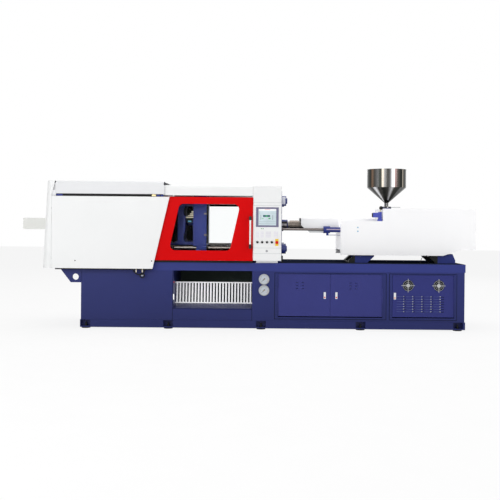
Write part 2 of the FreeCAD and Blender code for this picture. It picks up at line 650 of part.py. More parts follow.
def pump_unit():
    """Electric motor and pump on one foot in the fan bay."""
    body = new_part("pump_unit")
    axis = d.pump_axis
    pad(body, "YZ_Plane", [(0, axis, d.pump_motor_radius)], d.pump_motor_left, d.pump_motor_right)
    cowl = (0, axis, d.pump_motor_radius * 0.8)
    pad(body, "YZ_Plane", [cowl], d.pump_motor_right - 1, d.pump_motor_right + 46)
    pad(body, "YZ_Plane", [(0, axis, d.pump_radius * 0.7)], d.pump_left + 96, d.pump_motor_left + 1)
    pad(body, "YZ_Plane", [(0, axis, d.pump_radius)], d.pump_left, d.pump_left + 100)
    half = d.pump_motor_radius * 0.5
    box = rectangle(-half, axis, half, axis + d.pump_motor_radius * 1.4)
    pad(body, "YZ_Plane", [box], d.pump_motor_left + 120, d.pump_motor_left + 260)
    foot = rectangle(-d.pump_motor_radius, d.rail_top, d.pump_motor_radius, axis - d.pump_motor_radius * 0.5)
    pad(body, "YZ_Plane", [foot], d.pump_motor_left + 30, d.pump_motor_left + 80)
    pad(body, "YZ_Plane", [foot], d.pump_motor_right - 80, d.pump_motor_right - 30)
    return body


# ---------------------------------------------------------------- doors of the bed

door_front = -d.bed_half_width - d.bay_frame_proud


def bed_door(label, left, right):
    """Folded sheet door: a face with flanges turned in all round."""
    body = new_part(label)
    outline = rectangle(left, d.door_bottom + d.door_gap, right, d.door_top)
    pad(body, "XZ_Plane", [outline], door_front, door_front + d.door_flange)
    return body


def finish_bed_door(body, slots):
    """Shell the door to its gauge and cut its holes."""
    inner = as_size(door_front + d.door_flange)
    hollow(body, d.door_gauge, lambda middle, normal: near(middle.y, inner, 0.1))
    cut(body, "XZ_Plane", slots, door_front - 1, door_front + d.door_gauge + 1)


def vent_slots(middle_x):
    """Three short slots, one above the other."""
    half = d.vent_width / 2
    rows = []
    for row in range(3):
        bottom = d.vent_bottom + d.vent_pitch_z * row
        for column in (-0.5, 0.5):
            x = middle_x + d.vent_pitch_x * column * 1.4
            rows.append(rectangle(x - half, bottom, x + half, bottom + d.vent_height))
    return rows


def lever_hole(x):
    """Round hole for a lock's shaft."""
    return (x, d.lever_top - d.lever_width / 2, d.lever_shaft + d.button_clearance)


def left_cabinet_door():
    """Left door of the electrical bay, hinged on its left edge."""
    left = d.cabinet_left + d.bay_frame_width + d.door_gap
    body = bed_door("left_cabinet_door", left, d.door_meeting_x - d.door_gap / 2)
    finish_bed_door(body, vent_slots(d.left_vent_x) + [lever_hole(d.left_lever_x)])
    door_hinge(body, 0)
    return body


def right_cabinet_door():
    """Right door of the electrical bay, hinged on its right edge."""
    right = d.cabinet_right - d.bay_frame_width - d.door_gap
    body = bed_door("right_cabinet_door", d.door_meeting_x + d.door_gap / 2, right)
    finish_bed_door(body, vent_slots(d.right_vent_x) + [lever_hole(d.right_lever_x)])
    door_hinge(body, 1)
    return body


def fan_door():
    """Door of the pump bay, with two fan openings and a field of louvres, hinged on its right edge."""
    left = d.fan_bay_left + d.bay_frame_width + d.door_gap
    right = d.fan_bay_right - d.bay_frame_width - d.door_gap
    body = bed_door("fan_door", left, right)
    holes = [(x, d.fan_z, d.fan_radius) for x in (d.left_fan_x, d.right_fan_x)]
    finish_bed_door(body, holes + [lever_hole(d.fan_lever_x)])
    top = d.louvre_bottom + d.louvre_height
    row = [rectangle(x, d.louvre_bottom, x + d.louvre_width, top)
           for x in (d.louvre_left + d.louvre_pitch_x * column for column in range(5))]
    slots = cut(body, "XZ_Plane", row, door_front - 1, door_front + d.door_gauge + 1)
    repeat(body, slots, "Z_Axis", d.louvre_pitch_z, d.louvre_rows)
    door_hinge(body, 2)
    return body


def lock_lever(label, x):
    """Flat lever of a bed door lock on its short shaft."""
    body = new_part(label)
    half = d.lever_width / 2
    bar = rectangle(-half, half - d.lever_length, half, half)
    pad(body, "XZ_Plane", [bar], -d.lever_depth - 1, -1)
    pad(body, "XZ_Plane", [(0, 0, d.lever_shaft)], -2, d.door_gauge + d.lever_depth)
    place(body, x, door_front, d.lever_top - half)
    return body


def fan_guards():
    """Two wire guards over the fans: rings on a cross, with the motor's round seat behind."""
    body = new_part("fan_guards")
    front = door_front
    for x in (d.left_fan_x, d.right_fan_x):
        reach = d.fan_radius + 14
        cross = [centred(x, d.fan_z, reach, 3), centred(x, d.fan_z, 3, reach)]
        pad(body, "XZ_Plane", [cross[0]], front - 4, front)
        pad(body, "XZ_Plane", [cross[1]], front - 4, front)
        for radius in (d.fan_radius * 0.92, d.fan_radius * 0.62):
            pad(body, "XZ_Plane", [(x, d.fan_z, radius), (x, d.fan_z, radius - 3)], front - 4, front)
        pad(body, "XZ_Plane", [(x, d.fan_z, d.fan_hub)], front - 4, front)
        pad(body, "XZ_Plane", [(x, d.fan_z, d.needle_pin)], front - 1, front + d.fan_back - 10)
    return body


def fan_rotor(label, x):
    """Fan rotor: a hub with flat blades set round it."""
    body = new_part(label)
    tip = d.fan_radius - 6
    pad(body, "XZ_Plane", [(0, 0, d.fan_hub)], 8, 8 + d.fan_blade_depth)
    blade = pad(body, "XZ_Plane", [[(-9, 0), (-20, tip * 0.93), (12, tip * 0.97), (9, 0)]],
                12, 15)
    spokes = body.newObject("PartDesign::PolarPattern", "spokes")
    spokes.Originals = [blade]
    spokes.Axis = (origin_item(body, "Y_Axis"), [""])
    spokes.Angle = 360
    spokes.setExpression("Occurrences", d.fan_blades.formula)
    body.Tip = spokes
    cut(body, "XZ_Plane", [(0, 0, d.needle_pin + d.pin_clearance)], 0, d.fan_back)
    place(body, x, door_front, d.fan_z)
    return body


# ---------------------------------------------------------------- clamp unit

def bar_centres(radius):
    """The four tie bar positions on a section across the machine, with a radius."""
    return [(d.bar_half_pitch * across, d.machine_axis + d.bar_half_pitch * up, radius)
            for across in SIDES for up in SIDES]


def clipped_square(half, corner):
    """Square about the machine's axis with clipped corners, on a section across the machine."""
    axis = d.machine_axis
    return [(corner - half, axis - half), (half - corner, axis - half), (half, axis - half + corner),
            (half, axis + half - corner), (half - corner, axis + half), (corner - half, axis + half),
            (-half, axis + half - corner), (-half, axis - half + corner)]


def mould_holes():
    """Tapped holes for fixing a mould: one square of four and two rectangles of four."""
    patterns = [(d.mould_hole_mid, d.mould_hole_mid), (d.mould_hole_wide, d.mould_hole_narrow),
                (d.mould_hole_narrow, d.mould_hole_wide)]
    return [(across * a, d.machine_axis + up * b, d.mould_hole_radius)
            for across, up in patterns for a in SIDES for b in SIDES]


def fixed_platen():
    """Fixed platen on its feet: tie bar holes, locating bore, nozzle way, hub and mould holes."""
    body = new_part("fixed_platen")
    axis = d.machine_axis
    pad(body, "YZ_Plane", [clipped_square(d.platen_half, d.platen_corner)], d.fixed_face, d.fixed_back)
    foot = rectangle(-d.platen_foot_half, d.bed_top, d.platen_foot_half, axis - d.platen_half + 1)
    pad(body, "YZ_Plane", [foot], d.fixed_face, d.fixed_back)
    pad(body, "YZ_Plane", [(0, axis, d.hub_radius)], d.fixed_back - 1, d.fixed_back + d.hub_length)
    cut(body, "YZ_Plane", bar_centres(d.bar_radius + d.bar_clearance), d.fixed_face - 1, d.fixed_back + 1)
    bore = [(0, axis, d.locating_radius)]
    cut(body, "YZ_Plane", bore, d.fixed_face - 1, d.fixed_face + d.locating_depth)
    cut(body, "YZ_Plane", [(0, axis, d.nozzle_hole)], d.fixed_face, d.fixed_face + d.nozzle_wall + 1)
    cut(body, "YZ_Plane", [(0, axis, d.nozzle_recess)], d.fixed_face + d.nozzle_wall,
        d.fixed_back + d.hub_length + 1)
    cut(body, "YZ_Plane", mould_holes(), d.fixed_face - 1, d.fixed_face + d.mould_hole_depth)
    return body


def tie_bars():
    """Four tie bars with a round nut on each, behind the fixed platen."""
    body = new_part("tie_bars")
    pad(body, "YZ_Plane", bar_centres(d.bar_radius), d.bar_left, d.bar_right)
    pad(body, "YZ_Plane", bar_centres(d.bar_nut_radius), d.fixed_back, d.fixed_back + d.bar_nut_length)
    return body


def moving_platen():
    """Boxed moving platen: face plate, rear wall, webs, tie bar lugs, link lugs and sliding shoes."""
    body = new_part("moving_platen")
    axis = d.machine_axis
    plate = rectangle(-d.moving_half, axis - d.platen_half + d.moving_lug, d.moving_half,
                      axis + d.platen_half - d.moving_lug)
    waist = rectangle(-d.platen_half + d.moving_lug, axis - d.moving_half, d.platen_half - d.moving_lug,
                      axis + d.moving_half)
    pad(body, "YZ_Plane", [plate], d.moving_back_of_plate, d.moving_face)
    pad(body, "YZ_Plane", [waist], d.moving_back_of_plate, d.moving_face)
    pad(body, "YZ_Plane", bar_centres(d.bar_radius + d.moving_lug / 2 + 4), d.moving_face - d.moving_lug,
        d.moving_face)
    rear = centred(0, axis, d.moving_rear_half, d.moving_rear_half)
    pad(body, "YZ_Plane", [rear], d.moving_back, d.moving_rear_wall)
    for side in SIDES:
        outer = axis + d.moving_rear_half * side
        web = rectangle(-d.moving_rear_half, outer - d.moving_web / 2 - d.moving_web / 2 * side,
                        d.moving_rear_half, outer + d.moving_web / 2 - d.moving_web / 2 * side)
        pad(body, "YZ_Plane", [web], d.moving_rear_wall - 1, d.moving_back_of_plate + 1)
    round_edges(body, d.moving_web, lambda middle, along: abs(along.y) > 0.99
                and near(middle.x, d.moving_rear_wall)
                and near(abs(middle.z - axis.value), d.moving_rear_half - d.moving_web))
    link_lugs(body)
    for side in SIDES:
        low, high = side_span(side, d.slide_inner + 2, d.slide_outer - 2)
        shoe = rectangle(low, d.slide_top + 0.1, high, axis - d.moving_half + 1)
        pad(body, "YZ_Plane", [shoe], d.moving_face - d.moving_lug * 2, d.moving_face - 8)
        foot = rectangle(low, d.slide_top + 0.1, high, d.slide_top + d.shoe_height)
        pad(body, "YZ_Plane", [foot], d.moving_back - 40, d.moving_face - 9)
    cut(body, "YZ_Plane", bar_centres(d.bar_radius + d.bar_clearance), d.moving_back - 200, d.moving_face + 1)
    cut(body, "YZ_Plane", mould_holes(), d.moving_face - d.mould_hole_depth, d.moving_face + 1)
    rods = [(d.ejector_rod_y * side, axis, d.ejector_rod_radius + d.bar_clearance) for side in SIDES]
    cut(body, "YZ_Plane", rods, d.moving_back_of_plate - 1, d.moving_face + 1)
    return body


knee_fall_open = d.rear_link_length * sine(d.open_angle)
front_angle_open = arc_sine(knee_fall_open / d.front_link_length)
open_reach = d.rear_link_length * cosine(d.open_angle) + d.front_link_length * cosine(front_angle_open)
platen_pin_x = d.tail_pin_x + open_reach
outer_plane = d.inner_plane + d.link_gauge + d.tongue_width


def link_lugs(body):
    """Forked lugs behind the moving platen that carry the front links' pins, upper and lower."""
    for up in SIDES:
        z = d.machine_axis + d.toggle_half_pitch * up
        arm = rectangle(platen_pin_x, z - d.eye_radius, d.moving_back + 1, z + d.eye_radius)
        root_block = rectangle(d.moving_back - d.moving_web, z - d.eye_radius * (1 + 0.6 * (up > 0)),
                               d.moving_back + 1, z + d.eye_radius * (1 + 0.6 * (up < 0)))
        for side in SIDES:
            for inner in (d.inner_plane, outer_plane):
                low, high = side_span(side, inner, inner + d.link_gauge)
                pad(body, "XZ_Plane", [(platen_pin_x, z, d.eye_radius)], low, high)
                pad(body, "XZ_Plane", [arm], low, high)
                pad(body, "XZ_Plane", [root_block], low, high)
            low, high = side_span(side, d.inner_plane, outer_plane + d.link_gauge)
            cross = rectangle(d.moving_back - 2, z - d.eye_radius, d.moving_rear_wall,
                              z + d.eye_radius)
            pad(body, "XZ_Plane", [cross], low, high)
            pad(body, "XZ_Plane", [(platen_pin_x, z, d.pin_radius)], low, high)


def front_link(label, up):
    """Front link: a solid bar between the fork lugs, drawn along X from its platen pin."""
    body = new_part(label)
    length = d.front_link_length
    neck = d.eye_radius * 0.82
    for side in SIDES:
        low, high = side_span(side, d.inner_plane + d.link_gauge + d.plane_gap, outer_plane - d.plane_gap)
        pad(body, "XZ_Plane", [(0, 0, d.eye_radius)], low, high)
        pad(body, "XZ_Plane", [(-length, 0, d.eye_radius)], low, high)
        pad(body, "XZ_Plane", [rectangle(-length, -neck, 0, neck)], low, high)
        cut(body, "XZ_Plane", [(0, 0, d.pin_radius + d.pin_clearance)], low - 1, high + 1)
        cut(body, "XZ_Plane", [(-length, 0, d.pin_radius + 2)], low - 1, high + 1)
        middle = length / 2
        waist = rectangle(-middle - 120, -neck * 0.4, -middle + 120, neck * 0.4)
        for face in (low, high):
            cut(body, "XZ_Plane", [waist], face - 10, face + 10)
    place(body, platen_pin_x, 0, d.machine_axis + d.toggle_half_pitch * up)
    lean(body, front_angle_open * (-up))
    return body


def rear_link(label, up):
    """Rear link: four plates on one tail pin, drawn along X; the knee pin ends in the plates."""
    body = new_part(label)
    length = d.rear_link_length
    third_x = d.third_pin_reach * cosine(d.third_pin_angle)
    third_z = d.third_pin_reach * sine(d.third_pin_angle) * (-up)
    boss = d.small_eye_radius
    outline = [(0, d.eye_radius * up), (length, d.eye_radius * up), (length, -d.eye_radius * up * 0.6),
               (third_x, third_z - boss * up), (0, -d.eye_radius * up)]
    for side in SIDES:
        for inner in (d.inner_plane, outer_plane):
            low, high = side_span(side, inner, inner + d.link_gauge)
            pad(body, "XZ_Plane", [outline], low, high)
            pad(body, "XZ_Plane", [(0, 0, d.eye_radius)], low, high)
            pad(body, "XZ_Plane", [(length, 0, d.eye_radius)], low, high)
            cut(body, "XZ_Plane", [(third_x, third_z, d.small_pin_radius)], low - 1, high + 1)
        low, high = side_span(side, outer_plane + d.link_gauge - 1, outer_plane + d.link_gauge + d.pin_head)
        pad(body, "XZ_Plane", [(length, 0, d.pin_radius)], low, high)
    reach = outer_plane + d.link_gauge + d.pin_head
    pad(body, "XZ_Plane", [(0, 0, d.pin_radius)], -reach, reach)
    place(body, d.tail_pin_x, 0, d.machine_axis + d.toggle_half_pitch * up)
    lean(body, d.open_angle * up)
    return body


third_angle_open = d.open_angle + d.third_pin_angle
third_x_open = d.tail_pin_x + d.third_pin_reach * cosine(third_angle_open)
third_fall_open = d.third_pin_reach * sine(third_angle_open)
third_fall_closed = d.third_pin_reach * sine(d.third_pin_angle)
crosshead_link_length = d.toggle_half_pitch - third_fall_closed - d.crosshead_half_pitch
crosshead_rise_open = d.toggle_half_pitch - third_fall_open - d.crosshead_half_pitch
crosshead_run_open = root(crosshead_link_length * crosshead_link_length
                          - crosshead_rise_open * crosshead_rise_open)
crosshead_x = third_x_open - crosshead_run_open
crosshead_angle_open = arc_sine(crosshead_run_open / crosshead_link_length)


def crosshead_link(label, up):
    """Short link plates from the crosshead to the rear link, drawn up Z from the crosshead pin."""
    body = new_part(label)
    length = crosshead_link_length
    eye = d.small_eye_radius
    for side in SIDES:
        high = d.inner_plane - d.plane_gap
        low, high = side_span(side, high - d.crosshead_link_gauge, high)
        pad(body, "XZ_Plane", [(0, 0, eye)], low, high)
        pad(body, "XZ_Plane", [(0, length * up, eye)], low, high)
        pad(body, "XZ_Plane", [[(-eye * 0.7, 0), (eye * 0.7, 0), (eye * 0.7, length * up),
                                (-eye * 0.7, length * up)]], low, high)
        cut(body, "XZ_Plane", [(0, 0, d.small_pin_radius + d.pin_clearance)], low - 1, high + 1)
        cut(body, "XZ_Plane", [(0, length * up, d.small_pin_radius)], low - 1, high + 1)
    place(body, crosshead_x, 0, d.machine_axis + d.crosshead_half_pitch * up)
    lean(body, crosshead_angle_open * up)
    return body


def crosshead():
    """Crosshead on its guide beam with the link pins, and the clamp cylinder's rod and piston."""
    body = new_part("crosshead")
    axis = d.machine_axis
    half = d.crosshead_half_length
    rise = d.crosshead_half_pitch + d.small_eye_radius
    block = rectangle(crosshead_x - half, axis - rise, crosshead_x + half, axis + rise)
    pad(body, "XZ_Plane", [block], -d.crosshead_half_width, d.crosshead_half_width)
    beam = rectangle(crosshead_x - half, axis - d.beam_half_height,
                     crosshead_x + half, axis + d.beam_half_height)
    reach = d.guide_rod_y + d.guide_rod_radius * 1.6
    pad(body, "XZ_Plane", [beam], -reach, reach)
    pins = [(crosshead_x, axis + d.crosshead_half_pitch * up, d.small_pin_radius) for up in SIDES]
    pad(body, "XZ_Plane", pins, -d.inner_plane + d.plane_gap, d.inner_plane - d.plane_gap)
    rod = [(0, axis, d.rod_radius)]
    piston_right = cylinder_left + d.cylinder_head + d.piston_length + 12
    pad(body, "YZ_Plane", rod, piston_right - 1, crosshead_x)
    piston = [(0, axis, d.cylinder_bore - d.pin_clearance)]
    pad(body, "YZ_Plane", piston, piston_right - d.piston_length, piston_right)
    guides = [(d.guide_rod_y * side, axis, d.guide_rod_radius + d.pin_clearance) for side in SIDES]
    cut(body, "YZ_Plane", guides, crosshead_x - half - 1, crosshead_x + half + 1)
    return body


tail_rear = d.tail_face - d.tail_thickness
cylinder_left = tail_rear - d.cylinder_length


def tail_platen():
    """Tail platen: corner lugs on the tie bars, rod hole, link lugs, guide rods, shoes and set nuts."""
    body = new_part("tail_platen")
    axis = d.machine_axis
    pad(body, "YZ_Plane", [clipped_square(d.platen_half - 30, d.platen_corner)], tail_rear, d.tail_face)
    pad(body, "YZ_Plane", bar_centres(d.adjust_nut_radius), tail_rear - d.adjust_nut_length, tail_rear + 1)
    window = centred(0, axis, d.tail_window, d.tail_window * 0.6)
    cut(body, "YZ_Plane", [window], d.tail_face - d.tail_window_depth, d.tail_face + 1)
    for up in SIDES:
        z = axis + d.toggle_half_pitch * up
        arm = [(d.tail_face - 1, z - d.eye_radius * 1.3), (d.tail_pin_x, z - d.eye_radius),
               (d.tail_pin_x, z + d.eye_radius), (d.tail_face - 1, z + d.eye_radius * 1.3)]
        for side in SIDES:
            low, high = side_span(side, d.inner_plane + d.link_gauge + d.plane_gap, outer_plane - d.plane_gap)
            pad(body, "XZ_Plane", [arm], low, high)
            pad(body, "XZ_Plane", [(d.tail_pin_x, z, d.eye_radius)], low, high)
            cut(body, "XZ_Plane", [(d.tail_pin_x, z, d.pin_radius + d.pin_clearance)], low - 1, high + 1)
    for side in SIDES:
        low, high = side_span(side, d.slide_inner + 2, d.slide_outer - 2)
        shoe = rectangle(low, d.slide_top + 0.1, high, axis - d.platen_half + 60)
        pad(body, "YZ_Plane", [shoe], tail_rear, d.tail_face)
    guides = [(d.guide_rod_y * side, axis, d.guide_rod_radius) for side in SIDES]
    pad(body, "YZ_Plane", guides, d.tail_face - 1, d.guide_rod_right)
    cut(body, "YZ_Plane", bar_centres(d.bar_radius + d.bar_clearance), tail_rear - d.adjust_nut_length - 1,
        d.tail_face + 1)
    cut(body, "YZ_Plane", [(0, axis, d.rod_radius + 2)], tail_rear - 1, d.tail_face + 1)
    return body


def clamp_cylinder():
    """Hydraulic clamp cylinder on the tail platen's back: flange, tube, closed rear head, front gland."""
    body = new_part("clamp_cylinder")
    axis = d.machine_axis
    pad(body, "YZ_Plane", [(0, axis, d.cylinder_radius)], cylinder_left, tail_rear)
    pad(body, "YZ_Plane", [(0, axis, d.cylinder_radius * 1.45)], tail_rear - d.cylinder_head, tail_rear)
    head_inside = tail_rear - d.cylinder_head
    cut(body, "YZ_Plane", [(0, axis, d.cylinder_bore)], cylinder_left + d.cylinder_head, head_inside)
    cut(body, "YZ_Plane", [(0, axis, d.rod_radius + d.pin_clearance)], head_inside - 1, tail_rear + 1)
    return body


def ejector_plate():
    """Ejector plate in the moving platen's box, with its two rods through the face plate."""
    body = new_part("ejector_plate")
    axis = d.machine_axis
    left = d.moving_rear_wall + 1
    plate = rectangle(-d.ejector_half_width, axis - d.ejector_top * 0.78,
                      d.ejector_half_width, axis + d.ejector_top)
    pad(body, "YZ_Plane", [plate], left, left + d.ejector_gauge)
    rods = [(d.ejector_rod_y * side, axis, d.ejector_rod_radius) for side in SIDES]
    pad(body, "YZ_Plane", rods, left + d.ejector_gauge - 1, d.moving_face - 10)
    return body


# ---------------------------------------------------------------- guards

def guard_frame():
    """Square tube frame that carries the covers and hoods, and the lower guides of the safety doors."""
    body = new_part("guard_frame")
    top = d.rail_bottom + d.post_size
    post_right = d.rear_post_x + d.post_size
    for side in SIDES:
        low, high = side_span(side, d.post_y, d.post_y + d.post_size)
        lines = (d.rear_post_x, d.middle_post_x, d.front_post_x)
        posts = [rectangle(x, low, x + d.post_size, high) for x in lines]
        pad(body, "XY_Plane", posts, d.bed_top, d.rail_bottom + 1)
        rail = rectangle(low, d.rail_bottom, high, top)
        pad(body, "YZ_Plane", [rail], d.rear_post_x, d.front_post_x + d.post_size)
        hood_brackets(body, side)
        low, high = side_span(side, d.guide_y, d.guide_y + d.guide_depth)
        guide = rectangle(low, d.bed_top, high, d.bed_top + d.guide_height)
        pad(body, "YZ_Plane", [guide], post_right, d.safety_right)
        cover_brackets(body, side)
    cross = rectangle(d.rear_post_x, d.rail_bottom, post_right, top)
    pad(body, "XZ_Plane", [cross], -d.post_y - 1, d.post_y + 1)
    return body


def hood_brackets(body, side):
    """Cranked brackets that carry the rear hood outside the sliding hood and above the door."""
    rail_side = d.post_y + d.post_size
    outer = d.rear_hood_half - d.sheet_gauge - d.bar_clearance
    step = d.rail_bottom + d.post_size + 3
    stem = rectangle(rail_side - 1, step - d.post_size, rail_side + 12, step + 9)
    arm = rectangle(rail_side - 1, step, outer, step + 9)
    ear = rectangle(outer - 12, step, outer, step + d.post_size * 1.4)
    for outline in (stem, arm, ear):
        corners = [(y * side, z) for y, z in outline]
        for x in (d.rear_post_x, d.middle_post_x):
            pad(body, "YZ_Plane", [corners], x, x + d.post_size)


def cover_brackets(body, side):
    """Brackets from the rear posts to the side cover and round its edge to the tail cover."""
    inner = d.cover_y - d.sheet_gauge
    middle = d.cover_y - d.cover_depth - 6
    left = d.cover_left - d.post_size * 0.35
    for z in (d.safety_bottom, d.window_top - d.post_size * 2):
        low, high = side_span(side, d.post_y + 1, inner)
        pad(body, "XZ_Plane", [rectangle(d.rear_post_x, z, d.rear_post_x + d.post_size, z + 30)], low, high)
        low, high = side_span(side, d.post_y + 1, middle)
        pad(body, "XZ_Plane", [rectangle(left, z, d.rear_post_x + 1, z + 30)], low, high)
        low, high = side_span(side, middle - 1, inner)
        pad(body, "XZ_Plane", [rectangle(left, z, d.cover_left - 4, z + 30)], low, high)


def side_cover(label, side):
    """Large side cover: one sheet with its edges turned in and a slanted front edge."""
    body = new_part(label)
    outline = [(d.cover_left, d.cover_bottom), (d.slant_bottom, d.cover_bottom), (d.slant_top, d.cover_top),
               (d.cover_left, d.cover_top)]
    low, high = side_span(side, d.cover_y - d.cover_depth, d.cover_y)
    pad(body, "XZ_Plane", [outline], low, high)
    inner = low if side > 0 else high
    return hollow(body, d.sheet_gauge, lambda middle, normal: near(middle.y, inner, 0.1))


def tail_cover():
    """End cover: a tall leaning shell with rounded corners and a hole for the cylinder guard."""
    body = new_part("tail_cover")
    lower_roof = d.rear_hood_bottom - 8
    outline = [(d.cover_left - 2, d.cover_bottom), (d.tail_left_bottom, d.cover_bottom),
               (d.tail_left_top, d.rear_hood_top),
               (d.tail_roof_right, d.rear_hood_top), (d.tail_roof_right - 14, d.rear_hood_top - 60),
               (d.cover_left - 2, lower_roof)]
    pad(body, "XZ_Plane", [outline], -d.cover_y, d.cover_y)
    round_edges(body, d.tail_round, lambda middle, along: middle.x < d.tail_left_top.value + 5
                and near(abs(middle.y), d.cover_y) and abs(along.y) < 0.1 and abs(along.z) > 0.9)
    hollow(body, d.sheet_gauge, lambda middle, normal: normal.x > 0.5 and middle.x > d.cover_left.value - 60)
    opening = centred(0, (d.guard_box_top + d.guard_box_bottom) / 2, d.guard_box_half + 0.3,
                      (d.guard_box_top - d.guard_box_bottom) / 2 + 0.3)
    cut(body, "YZ_Plane", [opening], d.tail_left_bottom - 10, d.tail_left_top + 12)
    return body


def cylinder_guard():
    """Square tube guard over the tail end of the clamp cylinder, closed at its far end."""
    body = new_part("cylinder_guard")
    middle = (d.guard_box_top + d.guard_box_bottom) / 2
    outline = centred(0, middle, d.guard_box_half, (d.guard_box_top - d.guard_box_bottom) / 2)
    right = d.tail_left_bottom + d.tail_round
    pad(body, "YZ_Plane", [outline], d.guard_box_left, right)
    return hollow(body, d.sheet_gauge, lambda middle, normal: near(middle.x, right, 0.1))


def hood(label, left, right, half, bottom, top):
    """Folded roof hood with rounded long edges, open below and at both ends."""
    body = new_part(label)
    pad(body, "YZ_Plane", [rectangle(-half, bottom, half, top)], left, right)
    round_edges(body, d.hood_round, lambda middle, along: near(middle.z, top, 0.1) and abs(along.x) > 0.9)
    hollow(body, d.sheet_gauge, lambda middle, normal: abs(normal.x) > 0.9 or normal.z < -0.9)
    return body


def rear_hood():
    """Fixed hood over the toggle."""
    return hood("rear_hood", d.tail_roof_right + 3, d.rear_hood_right, d.rear_hood_half, d.rear_hood_bottom,
                d.rear_hood_top)


def front_hood():
    """Sliding hood over the mould, with feet that ride on the frame's rails."""
    body = hood("front_hood", d.front_hood_left, d.front_hood_right, d.front_hood_half, d.front_hood_bottom,
                d.front_hood_top)
    for side in SIDES:
        low, high = side_span(side, d.post_y, d.front_hood_half - 1)
        shelf = rectangle(low, d.front_hood_bottom, high, d.front_hood_bottom + d.sheet_gauge)
        pad(body, "YZ_Plane", [shelf], d.front_hood_left, d.front_hood_right)
        low, high = side_span(side, d.post_y + 12, d.post_y + d.post_size - 12)
        for x in (d.front_hood_left + 30, d.front_post_x - 40):
            foot = rectangle(low, d.rail_bottom + d.post_size + 0.3, high, d.front_hood_bottom + 1)
            pad(body, "YZ_Plane", [foot], x, x + 60)
    return body


# ---------------------------------------------------------------- safety doors

def rear_window_outline(lap):
    """Upright window over the mould space, with a lap all round."""
    return rectangle(d.rear_window_left - lap, d.rear_window_bottom - lap, d.rear_window_right + lap,
                     d.rear_window_top + lap)


def front_window_outline(lap):
    """Leaning window between the two heights, with a lap all round."""
    rise = d.window_top - d.window_bottom
    run = d.window_top_left - d.window_bottom_left
    slope = run / rise
    top, bottom = d.window_top + lap, d.window_bottom - lap
    top_left = d.window_top_left + slope * lap - lap
    bottom_left = d.window_bottom_left - slope * lap - lap
    width = d.window_width + lap * 2
    return [(bottom_left, bottom), (bottom_left + width, bottom), (top_left + width, top), (top_left, top)]


def window_outline(side, lap):
    """Window of the front or the rear door."""
    return front_window_outline(lap) if side < 0 else rear_window_outline(lap)


def round_window(body, outline):
    """Round the upright corners of a window or pane."""
    corners = [(as_size(x).value, as_size(z).value) for x, z in outline]
    round_edges(body, d.window_round, lambda middle, along: abs(along.y) > 0.9
                and any(math.hypot(middle.x - x, middle.z - z) < 2 for x, z in corners))


def safety_door(label, side):
    """Sliding safety door: a deep folded sheet with a large window."""
    body = new_part(label)
    outline = rectangle(d.safety_left, d.safety_bottom, d.safety_right, d.safety_top)
    low, high = side_span(side, d.safety_y - d.safety_depth, d.safety_y)
    pad(body, "XZ_Plane", [outline], low, high)
    inner = low if side > 0 else high
    hollow(body, d.sheet_gauge, lambda middle, normal: near(middle.y, inner, 0.1))
    outline = window_outline(side, as_size(0))
    cut(body, "XZ_Plane", [outline], low - 1, high + 1)
    round_window(body, outline)
    if side > 0:
        add_handle(body, side)
    return body


def door_window(label, side):
    """Clear pane seated against the inside of the door's face."""
    body = new_part(label)
    outer = d.safety_y - d.sheet_gauge
    low, high = side_span(side, outer - d.pane_gauge, outer)
    outline = window_outline(side, d.pane_lap)
    pad(body, "XZ_Plane", [outline], low, high)
    round_window(body, outline)
    return body


def add_handle(body, side):
    """Upright bar handle on two mounts."""
    spots = [(d.grip_x, d.grip_y * side, d.grip_radius)]
    pad(body, "XY_Plane", spots, d.grip_bottom, d.grip_top)
    low, high = side_span(side, d.safety_y, d.grip_y)
    half = d.grip_mount / 2
    mounts = [centred(d.grip_x, z, half, half * 1.5)
              for z in (d.grip_bottom + d.grip_mount, d.grip_top - d.grip_mount)]
    pad(body, "XZ_Plane", mounts, low, high)


def door_handle(label, side):
    """Handle of the operator's door, a bar on two mounts."""
    body = new_part(label)
    add_handle(body, side)
    return body


# ---------------------------------------------------------------- operator's cabinet

